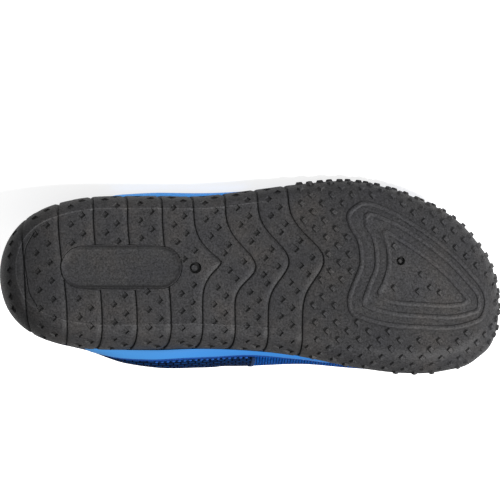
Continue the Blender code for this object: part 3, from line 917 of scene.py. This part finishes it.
def new_piece(name, points, faces, node=None, sharp=40, plan=None, lining_from=None):
    """A piece placed in the row's frame, riding on the one body, with its own material to come."""
    mesh = bpy.data.meshes.new(name)
    placed = to_row(points)
    placed[:, 2] = np.maximum(placed[:, 2], 0)
    mesh.from_pydata([tuple(point) for point in placed], [], faces)
    work = bmesh.new()
    work.from_mesh(mesh)
    bmesh.ops.recalc_face_normals(work, faces=work.faces)
    if work.calc_volume(signed=True) < 0:
        bmesh.ops.reverse_faces(work, faces=work.faces)
    work.to_mesh(mesh)
    work.free()
    if plan is not None:
        layer = mesh.uv_layers.new(name="plan")
        corner = np.empty(len(mesh.loops), int)
        mesh.loops.foreach_get("vertex_index", corner)
        layer.data.foreach_set("uv", np.asarray(plan)[corner].ravel())
    if lining_from is not None:
        index = (np.arange(len(faces)) >= lining_from).astype(int)
        mesh.polygons.foreach_set("material_index", index)
    mesh.shade_smooth()
    mesh.set_sharp_from_angle(angle=math.radians(sharp))
    piece = new_object(name, mesh)
    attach(piece, "root")
    if node:
        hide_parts(node)
    return piece


def add_attribute(piece, name, values):
    layer = piece.data.attributes.new(name, "FLOAT", "POINT")
    layer.data.foreach_set("value", np.asarray(values, dtype=float))


def cup_ring(rim_points, out, inset, down):
    """Points at an inset from the rim outline, part of the way from the rim down to the sole floor."""
    plan = rim_points - out * inset
    rim = rim_height(rim_points[:, 0])
    z = rim + (floor_height(plan[:, 0]) - rim) * down
    return np.column_stack([plan, z])


def floor_fill(ring, faces, first):
    """Closes a ring of points with faces across the shoe."""
    result = delaunay_2d_cdt(
        [Vector(point[:2]) for point in ring], [], [list(range(len(ring)))], 1, 1e-7
    )
    for face in result[2]:
        faces.append(tuple(first + result[3][i][0] for i in face))


def split_ends(line, index):
    """The line as drawn, or its two ends outside the heel oval."""
    if not FIRST_SPLIT_GROOVE <= index <= LAST_SPLIT_GROOVE:
        return [line]
    clear = oval_distance(line) > OVAL_HALF
    return [line[clear & (line[:, 1] < 0)], line[clear & (line[:, 1] > 0)]]


def make_outsole():
    angles = full_turn(RIM_POINTS)
    normals = outline_normals(angles)
    fold = outline_points(angles) - normals * WALL_REACH
    loops = [fold + normals * WALL_LENGTH * step / WALL_LOOPS for step in range(WALL_LOOPS)]
    loops += [fold + normals * BEAD_HALF, fold - normals * BEAD_HALF]
    for radius in (OVAL_LINE, 0, -OVAL_LINE, -OVAL_CHAMFER / 2, -OVAL_CHAMFER):
        loops.append(oval_loop(OVAL_HALF + radius))
    for inset, shift, count in zip(RIB_INSETS, RIB_SHIFTS, RIB_POINTS):
        for side in RIB_LOOPS:
            loops.append(rib_loop(inset + side * RIB_HALF, shift, count))
    for middle, radius, disc, shift in PLUG_PLACES:
        loops += [circle(middle, radius), circle(middle, radius - PLUG_DRAFT)]
        loops += [circle(middle - (shift, 0), disc), circle(middle - (shift, 0), disc - PLUG_DRAFT)]
    for place, size in zip(PIT_PLACES, PIT_SIZES):
        loops += [diamond(place, size * PIT_HALF), diamond(place, size * PIT_FLOOR)]
    for place in STUD_PLACES:
        loops += [diamond(place, STUD_HALF), diamond(place, STUD_CREST)]
    lines = [np.array([point]) for point in grid_points()]
    lines += [sideways(CREASE, shift) for shift in (-CREASE_HALF, 0, CREASE_HALF)]
    groove_lines = [-GROOVE_BEVEL, -GROOVE_BEVEL / 2] + [far * GROOVE_DRAFT for far, _ in GROOVE_WALL]
    for index, path in enumerate(GROOVE_PATHS):
        for shift in groove_lines:
            lines += split_ends(sideways(path, shift)[::2], index)
    plan, faces = plan_mesh(lines, loops, fold + normals * WALL_LENGTH)
    height, painted_light = relief(plan)
    points, feet, out = underside(plan, height)
    edge = boundary_order(faces)
    rim = feet[edge]
    out = out[edge]
    rings = [edge]
    levels = [(inset, 0, RIM_LIFT) for inset in RIM_INSETS]
    levels += [(inset, down, 0) for inset, down in CUP + ((FLOOR_INSET, 1.0),)]
    for inset, down, lift in levels:
        rings.append(list(range(len(points), len(points) + len(edge))))
        points = np.concatenate([points, cup_ring(rim, out, inset, down) + (0, 0, lift)])
    for low, high in zip(rings, rings[1:]):
        add_ring_faces(faces, low, high)
    floor_fill(points[rings[-1]], faces, rings[-1][0])
    piece = new_piece("outsole_tread", points, faces, "outsole", 32)
    # Painted light of the tread's points; the cup's rings get none
    plain = np.ones(len(points) - len(painted_light))
    add_attribute(piece, "painted_light", np.concatenate([painted_light, plain]))
    return piece


def upper_foot(theta, inset, down):
    """Outer face of the upper where it stands in the sole, clear of the sole by the gap."""
    plan = outline_points(theta)
    ring = cup_ring(plan, outline_normals(theta), inset + GAP, down)
    ring[:, 2] += GAP * down
    return ring


def side_value(table, theta, inner_column, outer_column):
    share = station(theta)
    inner = read_curve(table, inner_column, share)
    outer = read_curve(table, outer_column, share)
    return np.where(np.sin(theta) >= 0, inner, outer)


def upper_side(theta, up):
    """Outer face of the upper above the rim: up is 0 at the rim and 1 at the crest or the collar."""
    share = station(theta)
    foot = upper_foot(theta, CUP[0][0], 0)
    top = read_curve(TOP, 1, share)
    opening = np.clip(read_curve(TOP, 2, share), 0, 1)
    opening = np.where(share >= THROAT, 0, opening)
    collar = 1 - smooth_step(*COLLAR_BLEND, share)
    height = (1 - collar) * np.sin(up * math.pi / 2) + collar * up
    across = (1 - collar) * np.cos(up * math.pi / 2) ** CREST_FULLNESS + collar * (1 - up**COLLAR_FULLNESS)
    across = opening + (1 - opening) * np.where(up > 0.9999, 0, across)
    middle = TOE_SWING * smooth_step(CREST_SWING_FROM, 1, share)
    swell = side_value(SWELL, theta, 1, 2) * np.sin(math.pi * up**SWELL_LOWNESS)
    out = outline_normals(theta)
    heel = np.clip(1 - share / HEEL_CURL_TO, 0, 1) ** 2
    nose = np.clip((share - NOSE_CURL_FROM) / (1 - NOSE_CURL_FROM), 0, 1) ** 2
    lean = heel * (HEEL_LEAN * up**2 - HEEL_BULGE * np.sin(math.pi * up)) - nose * NOSE_CURL * up**2
    x = foot[:, 0] + (share * LENGTH - foot[:, 0]) * up**2 + out[:, 0] * swell + lean
    y = middle + (foot[:, 1] - middle) * across + out[:, 1] * swell
    z = foot[:, 2] + (top - foot[:, 2]) * height
    bare = smooth_step(band_top(share), band_top(share) + BAND_EASE, up * (top - foot[:, 2]))
    return pressed_in(np.stack([x, y, z], axis=1), (BAND_CLEARANCE + BAND_THICKNESS) * (1 - bare))


def band_top(share):
    return read_curve(BAND_TOP, 1, share)


def pressed_in(points, room):
    """Points moved in from the floor that the shoe lies on, where they would come nearer than room."""
    beyond = points @ FLOOR_NORMAL - FLOOR_REACH + room
    move = (beyond + np.hypot(beyond, PRESS_SOFTNESS)) / 2
    return points - move[:, None] * FLOOR_NORMAL


def sheet_normals(points, faces):
    """Normals of a sheet's points, all to one side of it."""
    mesh = bpy.data.meshes.new("sheet")
    mesh.from_pydata([tuple(point) for point in points], [], faces)
    work = bmesh.new()
    work.from_mesh(mesh)
    bmesh.ops.recalc_face_normals(work, faces=work.faces)
    work.normal_update()
    normals = np.array([tuple(vertex.normal) for vertex in work.verts])
    kept = [tuple(vertex.index for vertex in face.verts) for face in work.faces]
    work.free()
    bpy.data.meshes.remove(mesh)
    points = np.asarray(points)
    if ((points - points.mean(axis=0)) * normals).sum() < 0:
        normals = -normals
    return normals, kept


def shell_parts(points, faces, thickness):
    """A sheet given its wall on the inner side, closed along every open edge."""
    normals, sheet = sheet_normals(points, faces)
    count = len(points)
    both = np.concatenate([points, points - normals * thickness])
    inner = [tuple(count + i for i in reversed(face)) for face in sheet]
    edge = [(b, a, a + count, b + count) for a, b in open_sides(sheet)]
    return both, sheet + edge + inner, len(sheet) + len(edge)


def make_upper():
    theta = full_turn(UPPER_POINTS)
    rings = [upper_foot(theta, inset, down) for inset, down in reversed(CUP)]
    for step in range(1, UPPER_RINGS + 1):
        rings.append(upper_side(theta, np.full(len(theta), step / UPPER_RINGS)))
    points = np.concatenate(rings)
    last = len(rings) - 1
    place = {}

    def at(ring, i):
        i = i % UPPER_POINTS
        index = ring * UPPER_POINTS + i
        if ring == last and i > UPPER_POINTS / 2 and station(theta[i]) >= THROAT:
            index = ring * UPPER_POINTS + UPPER_POINTS - i
        return place.setdefault(index, len(place))

    faces = []
    for ring in range(last):
        for i in range(UPPER_POINTS):
            face = (at(ring, i), at(ring, i + 1), at(ring + 1, i + 1), at(ring + 1, i))
            faces.append(tuple(dict.fromkeys(face)))
    order = list(place)
    climb = np.stack([np.linalg.norm(b - a, axis=1) for a, b in zip(rings, rings[1:])])
    height = np.concatenate([[np.zeros(len(theta))], np.cumsum(climb, axis=0)])
    height -= height[len(CUP) - 1]
    other_side = -np.arange(UPPER_POINTS) % UPPER_POINTS
    height *= (1 + height[-1][other_side] / height[-1]) / 2
    around = run_lengths(outline_points(theta))
    half = around[UPPER_POINTS // 2]
    around = np.tile(half - np.abs(around - half), len(rings))
    plan = pairs(around[order], height.ravel()[order])
    both, faces, lining = shell_parts(points[order], faces, UPPER_WALL)
    plan = np.concatenate([plan, plan])
    piece = new_piece("upper_mesh", both, faces, "upper", 50, plan, lining)
    up = np.clip(np.arange(len(rings)) - len(CUP) + 1, 0, UPPER_RINGS) / UPPER_RINGS
    past = station(theta)[None, :] - knit_line(up)[:, None]
    add_attribute(piece, "past_seam", np.tile(past.ravel()[order], 2))
    return piece


def angle_at(share, outer_side):
    angle = math.acos(1 - 2 * share)
    return 2 * math.pi - angle if outer_side else angle


def face_out(theta, up):
    """Normals of the outer face of the upper."""
    along = upper_side(theta + SLOPE_STEP, up) - upper_side(theta - SLOPE_STEP, up)
    climb = upper_side(theta, up + SLOPE_STEP) - upper_side(theta, up - SLOPE_STEP)
    return unit(np.cross(climb, along))


def lifted(theta, rise, lift):
    """Points on the upper at a height over the rim, lifted off its face."""
    share = station(theta)
    room = read_curve(TOP, 1, share) - rim_height(share * LENGTH)
    up = rise / room
    return upper_side(theta, up) + face_out(theta, up) * lift


def strip_piece(name, theta, low, high, lift, thickness, slot, node=None, levels=BAND_LEVELS):
    """A band on the upper between two heights over the rim, rounded along its long edges."""
    rows = []
    plan = []
    for step in np.linspace(0, 1, levels):
        rise = low + (high - low) * step
        crown = 1 - abs(2 * step - 1) ** BAND_EDGE_POWER * BAND_EDGE_DROP
        rows.append(lifted(theta, rise, lift + thickness * crown))
        plan.append(pairs(station(theta) * LENGTH, rise + 0 * theta))
    faces = grid_faces(levels, len(theta))
    both, faces, _ = shell_parts(np.concatenate(rows), faces, thickness)
    plan = np.concatenate(plan)
    return new_piece(name, both, faces, node, 50, np.concatenate([plan, plan]))


def make_bands():
    made = []
    for side, span, swell in (("inner", INNER_BAND_SPAN, 0), ("outer", OUTER_BAND_SPAN, OUTER_BAND_SWELL)):
        theta = side_angles(span, side == "outer")
        high = band_edge(theta, span)
        low = np.full(len(theta), BAND_FOOT)
        thick = BAND_THICKNESS + swell
        node = "side_band_" + side
        made.append(strip_piece(node + "_skin", theta, low, high, BAND_CLEARANCE, thick, node, node))
    return made


def band_edge(theta, span):
    """Height of a band's upper edge, rounded down to its foot at both ends."""
    share = station(theta)
    from_end = np.minimum(share - span[0], span[1] - share) * LENGTH
    short = np.clip(1 - from_end / BAND_END_ROUND, 0, 1)
    return BAND_FOOT + (band_top(share) - BAND_FOOT) * np.sqrt(np.clip(1 - short**2, 0.0004, 1))


def side_angles(span, outer_side):
    return np.linspace(angle_at(span[0], outer_side), angle_at(span[1], outer_side), BAND_POINTS)


def make_piping():
    """The narrow raised line along the upper edge of each band."""
    made = []
    for side, span in (("inner", INNER_BAND_SPAN), ("outer", OUTER_BAND_SPAN)):
        theta = side_angles(span, side == "outer")
        low = band_edge(theta, span) + PIPING_CLEARANCE
        high = low + PIPING_WIDTH
        sizes = (low, high, 0, PIPING_THICKNESS)
        made.append(strip_piece("piping_" + side, theta, *sizes, "upper", levels=PIPING_LEVELS))
    return made


def knit_line(up):
    """Place along LENGTH where the royal knit begins, at a share of the way up the side."""
    return KNIT_FROM - (KNIT_FROM - THROAT) * up**2


def make_seams():
    """The flat tape over the seam between the mesh and the knit, up each side to the throat."""
    made = []
    up = np.linspace(*SEAM_SPAN, SEAM_POINTS)
    for side in ("inner", "outer"):
        theta = np.array([angle_at(share, side == "outer") for share in knit_line(up)])
        middle = upper_side(theta, up)
        out = face_out(theta, up)
        across = unit(np.cross(np.gradient(middle, axis=0), out))
        points = [middle + across * SEAM_HALF * x + out * SEAM_RAISE * z for x, z in SEAM_PROFILE]
        faces = bar_faces(len(SEAM_PROFILE), len(up))
        made.append(new_piece("seam_tape_" + side, np.concatenate(points), faces, None, 60))
    return made


def make_stitches():
    """A row of short raised stitches just above the piping of the inner side."""
    swell = np.array(STITCH_SWELL)[:, None]
    points = []
    faces = []
    for x in np.arange(*np.array(STITCH_SPAN) * LENGTH, STITCH_PITCH):
        ends = [angle_at(place / LENGTH, False) for place in (x, x + STITCH_LENGTH)]
        theta = np.linspace(*ends, len(swell))
        rise = band_top(station(theta)) + PIPING_WIDTH + STITCH_RISE
        middle = lifted(theta, rise, STITCH_LIFT)
        side = lifted(theta, rise + STITCH_HALF, STITCH_LIFT) - middle
        out = lifted(theta, rise, STITCH_LIFT + STITCH_HALF) - middle
        faces += bar_faces(STITCH_TURNS, len(swell), len(points))
        for turn in full_turn(STITCH_TURNS):
            points.extend(middle + swell * (side * math.cos(turn) + out * math.sin(turn)))
    return new_piece("stitch_row", np.array(points), faces, None, 60)


def make_insole():
    theta = full_turn(INSOLE_POINTS)
    plan = outline_points(theta)
    out = outline_normals(theta)
    points = []
    for share, trim in INSOLE_LEVELS:
        ring = plan - out * (INSOLE_INSET - INSOLE_FLARE * share + trim)
        points.append(np.column_stack([ring, floor_height(ring[:, 0]) + GAP + INSOLE_THICKNESS * share]))
    faces = grid_faces(len(points), len(theta), ends_meet=True)
    floor_fill(points[0], faces, 0)
    floor_fill(points[-1], faces, (len(points) - 1) * len(theta))
    return new_piece("insole_pad", np.concatenate(points), faces, "insole", 50)


def collar_line():
    """The edge of the collar, in order, from its throat round the heel and back."""
    inner = np.linspace(angle_at(HEM_TO, False), 0, HEM_POINTS)
    outer = np.linspace(2 * math.pi, angle_at(HEM_TO, True), HEM_POINTS)[1:]
    theta = np.concatenate([inner, outer])
    return upper_side(theta, np.ones(len(theta)))


def make_collar():
    """The rolled hem round the collar."""
    line = collar_line()
    along = unit(np.roll(line, -1, axis=0) - np.roll(line, 1, axis=0))
    side = unit(np.cross(along, (0, 0, 1)))
    upright = np.cross(side, along)
    points = []
    for turn in full_turn(HEM_TURNS):
        points.append(line + HEM_RADIUS * (side * math.cos(turn) + upright * (math.sin(turn) - HEM_SINK)))
    faces = grid_faces(HEM_TURNS, len(line), True, True)
    return new_piece("collar_hem", np.concatenate(points), faces, None, 80)


def new_material(name, colour, roughness, specular):
    material = bpy.data.materials.new(name)
    material.use_nodes = True
    shader = material.node_tree.nodes["Principled BSDF"]
    shader.inputs["Base Color"].default_value = (*colour, 1)
    shader.inputs["Roughness"].default_value = roughness
    shader.inputs["Specular IOR Level"].default_value = specular
    return material, shader


def add_node(shader, kind, **values):
    """A node in the shader's own tree, its inputs or settings given by name."""
    node = shader.id_data.nodes.new(kind)
    for key, value in values.items():
        if key in node.inputs.keys():
            node.inputs[key].default_value = value
        else:
            setattr(node, key, value)
    return node


def join(source, output, target, socket):
    source.id_data.links.new(source.outputs[output], target.inputs[socket])


def colour_ramp(shader, stops):
    ramp = add_node(shader, "ShaderNodeValToRGB")
    elements = ramp.color_ramp.elements
    elements[0].position, elements[0].color = stops[0][0], (*stops[0][1], 1)
    elements[1].position, elements[1].color = stops[-1][0], (*stops[-1][1], 1)
    for place, colour in stops[1:-1]:
        element = elements.new(place)
        element.color = (*colour, 1)
    return ramp


def share_between(shader, low, high):
    """How far a value lies from low to high, 0 to 1."""
    return add_node(shader, "ShaderNodeMapRange", **{"From Min": low, "From Max": high})


def add_bump(shader, source, output, strength, distance):
    """A bump on the shader, as high as a node's output."""
    bump = add_node(shader, "ShaderNodeBump", Strength=strength, Distance=distance)
    join(source, output, bump, "Height")
    join(bump, "Normal", shader, "Normal")
    return bump


def multiplied(first, output, second):
    """A node whose third output is one node's output times another's colour."""
    mix = add_node(first, "ShaderNodeMix", data_type="RGBA", blend_type="MULTIPLY", Factor=1)
    join(first, output, mix, 6)
    join(second, "Color", mix, 7)
    return mix


def rubber():
    """Charcoal moulded rubber, grainy and brown in patches, paler with painted highlights on crests and the
    fold's bead, darker with painted shade in recesses and towards the heel.
    """
    material, shader = new_material("charcoal_rubber", RUBBER[1][1], roughness=0.6, specular=0.12)
    place = add_node(shader, "ShaderNodeTexCoord")
    broad = add_node(shader, "ShaderNodeTexNoise", Scale=42.0, Detail=6.0, Roughness=0.62)
    fine = add_node(shader, "ShaderNodeTexNoise", Scale=1050.0, Detail=4.0, Roughness=0.75)
    tint = colour_ramp(shader, RUBBER)
    grain = colour_ramp(shader, GRAIN)
    for noise, ramp in ((broad, tint), (fine, grain)):
        join(place, "Object", noise, "Vector")
        join(noise, "Fac", ramp, "Fac")
    # Painted light: each point's painted highlights and painted shade multiply the colour
    painted_light = add_node(shader, "ShaderNodeAttribute", attribute_name="painted_light")
    product = multiplied(multiplied(tint, "Color", grain), 2, painted_light)
    join(product, 2, shader, "Base Color")
    add_bump(shader, fine, "Fac", strength=0.5, distance=0.4 * MM)
    return material


def weave(shader, stitch, row, stagger, colours):
    """A knit of short raised ribs in rows, its sizes in millimetres and its stagger a share of a stitch."""
    plan = add_node(shader, "ShaderNodeUVMap", uv_map="plan")
    scaled = add_node(shader, "ShaderNodeMapping", Scale=(1 / MM, 1 / MM, 1.0))
    brick = add_node(shader, "ShaderNodeTexBrick", Scale=1.0, offset=stagger)
    sizes = zip(("Brick Width", "Row Height", "Mortar Size", "Mortar Smooth"), (stitch, row, row * 0.3, 1))
    for name, size in sizes:
        brick.inputs[name].default_value = size
    for name, colour in zip(("Color1", "Color2", "Mortar"), colours):
        brick.inputs[name].default_value = (*colour, 1)
    join(plan, "UV", scaled, "Vector")
    join(scaled, "Vector", brick, "Vector")
    return brick


def mesh_cloth():
    """Navy ridged mesh on the back and sides, royal blue knit from the ball of the foot to the toe."""
    material, shader = new_material("ridged_mesh", NAVY[0], roughness=0.8, specular=0.02)
    navy = weave(shader, *NAVY_STITCH, NAVY)
    royal = weave(shader, *ROYAL_STITCH, ROYAL)
    past = add_node(shader, "ShaderNodeAttribute", attribute_name="past_seam")
    blend = share_between(shader, -SEAM_BLEND, SEAM_BLEND)
    mix = add_node(shader, "ShaderNodeMix", data_type="RGBA")
    height = add_node(shader, "ShaderNodeMix")
    join(past, "Fac", blend, "Value")
    for target, output, first in ((mix, "Color", 6), (height, "Fac", 2)):
        join(blend, "Result", target, 0)
        join(navy, output, target, first)
        join(royal, output, target, first + 1)
    join(mix, 2, shader, "Base Color")
    add_bump(shader, height, 0, strength=0.9, distance=0.6 * MM).invert = True
    return material


def band_plastic(name, painted_light_gain):
    """Smooth light-blue band, a shade deeper towards the toe, its colours times a gain, above 1 for painted
    light on a band that lies in shade.
    """
    stops = [(place, tuple(painted_light_gain * value for value in colour)) for place, colour in BAND]
    material, shader = new_material(name, stops[0][1], roughness=0.42, specular=0.15)
    plan = add_node(shader, "ShaderNodeUVMap", uv_map="plan")
    split = add_node(shader, "ShaderNodeSeparateXYZ")
    along = share_between(shader, INNER_BAND_SPAN[0] * LENGTH, INNER_BAND_SPAN[1] * LENGTH)
    tint = colour_ramp(shader, stops)
    noise = add_node(shader, "ShaderNodeTexNoise", Scale=700.0, Detail=3.0)
    join(plan, "UV", split, "Vector")
    join(split, "X", along, "Value")
    join(along, "Result", tint, "Fac")
    join(tint, "Color", shader, "Base Color")
    add_bump(shader, noise, "Fac", strength=0.12, distance=0.2 * MM)
    return material


def plain_cloth(name, colour, scale):
    material, shader = new_material(name, colour, roughness=0.9, specular=0.15)
    place = add_node(shader, "ShaderNodeTexCoord")
    knit = add_node(shader, "ShaderNodeTexVoronoi", Scale=scale)
    shade = colour_ramp(shader, ((0.0, colour), (1.0, tuple(value * 0.45 for value in colour))))
    join(place, "Object", knit, "Vector")
    join(knit, "Distance", shade, "Fac")
    join(shade, "Color", shader, "Base Color")
    add_bump(shader, knit, "Distance", strength=0.5, distance=0.4 * MM)
    return material


def dress(piece, *materials):
    piece.data.materials.clear()
    for material in materials:
        piece.data.materials.append(material)


def make_floor():
    """A matt white floor, faintly lit from within so that the shoe's shadow stays pale."""
    material, shader = new_material("pale_floor", FLOOR_COLOUR, roughness=0.9, specular=0.5)
    shader.inputs["Emission Color"].default_value = (1, 1, 1, 1)
    shader.inputs["Emission Strength"].default_value = FLOOR_GLOW
    bpy.ops.mesh.primitive_plane_add(size=12, location=(0, 0, 0))
    floor = bpy.context.object
    floor.name = "floor"
    dress(floor, material)


def make_light(name, place, size, power):
    data = bpy.data.lights.new(name, "AREA")
    data.energy = power
    data.size = size
    light = new_object(name, data)
    light.location = place
    light.rotation_euler = (Vector(LIGHT_AIM) - light.location).to_track_quat("-Z", "Y").to_euler()


def make_lights():
    world = bpy.data.worlds.new("studio")
    bpy.context.scene.world = world
    world.use_nodes = True
    sky = world.node_tree.nodes["Background"]
    sky.inputs["Color"].default_value = (1, 1, 1, 1)
    sky.inputs["Strength"].default_value = SKY
    for row in LIGHTS:
        make_light(*row)


def make_camera():
    """The photograph's view of the sole: from its inner side, with the toe to the right of the picture."""
    back = Vector((0, math.sin(VIEW_TILT), -math.cos(VIEW_TILT)))
    right = Vector((1, 0, 0))
    up = back.cross(right)
    lift = (PICTURE_SIZE / 2 - AIM_PIXEL_Y) * METRES_PER_PIXEL / math.cos(VIEW_TILT)
    aim = Vector((AIM_X, lift, 0))
    place = TURN @ (aim + back * VIEW_DISTANCE) + SHIFT
    data = bpy.data.cameras.new("camera")
    data.sensor_width = 36
    data.lens = 36 * VIEW_DISTANCE / (METRES_PER_PIXEL * PICTURE_SIZE)
    data.clip_start = 0.05
    camera = new_object("camera", data)
    turn = (TURN @ Matrix((right, up, back)).transposed()).to_4x4()
    camera.matrix_world = Matrix.Translation(place) @ turn
    bpy.context.scene.camera = camera


def main():
    make_camera()
    dress(make_outsole(), rubber())
    dress(make_upper(), mesh_cloth(), plain_cloth("lining_cloth", LINING, 900))
    # The outer band's blue is raised as painted light, since it lies in shade by the floor
    for piece, painted_light_gain in zip(make_bands(), BAND_PAINTED_LIGHT_GAINS):
        dress(piece, band_plastic(piece.name + "_blue", painted_light_gain))
    piping = plain_cloth("piping_cord", PIPING, 1500)
    for piece in make_piping():
        dress(piece, piping)
    dress(make_stitches(), plain_cloth("stitch_thread", STITCHES, 2500))
    binding = plain_cloth("collar_cloth", NAVY[1], 1200)
    for piece in [make_collar()] + make_seams():
        dress(piece, binding)
    insole = make_insole()
    dress(insole, plain_cloth("insole_cloth", INSOLE, 900))
    make_floor()
    make_lights()
    bpy.context.scene.view_settings.view_transform = "Standard"


main()
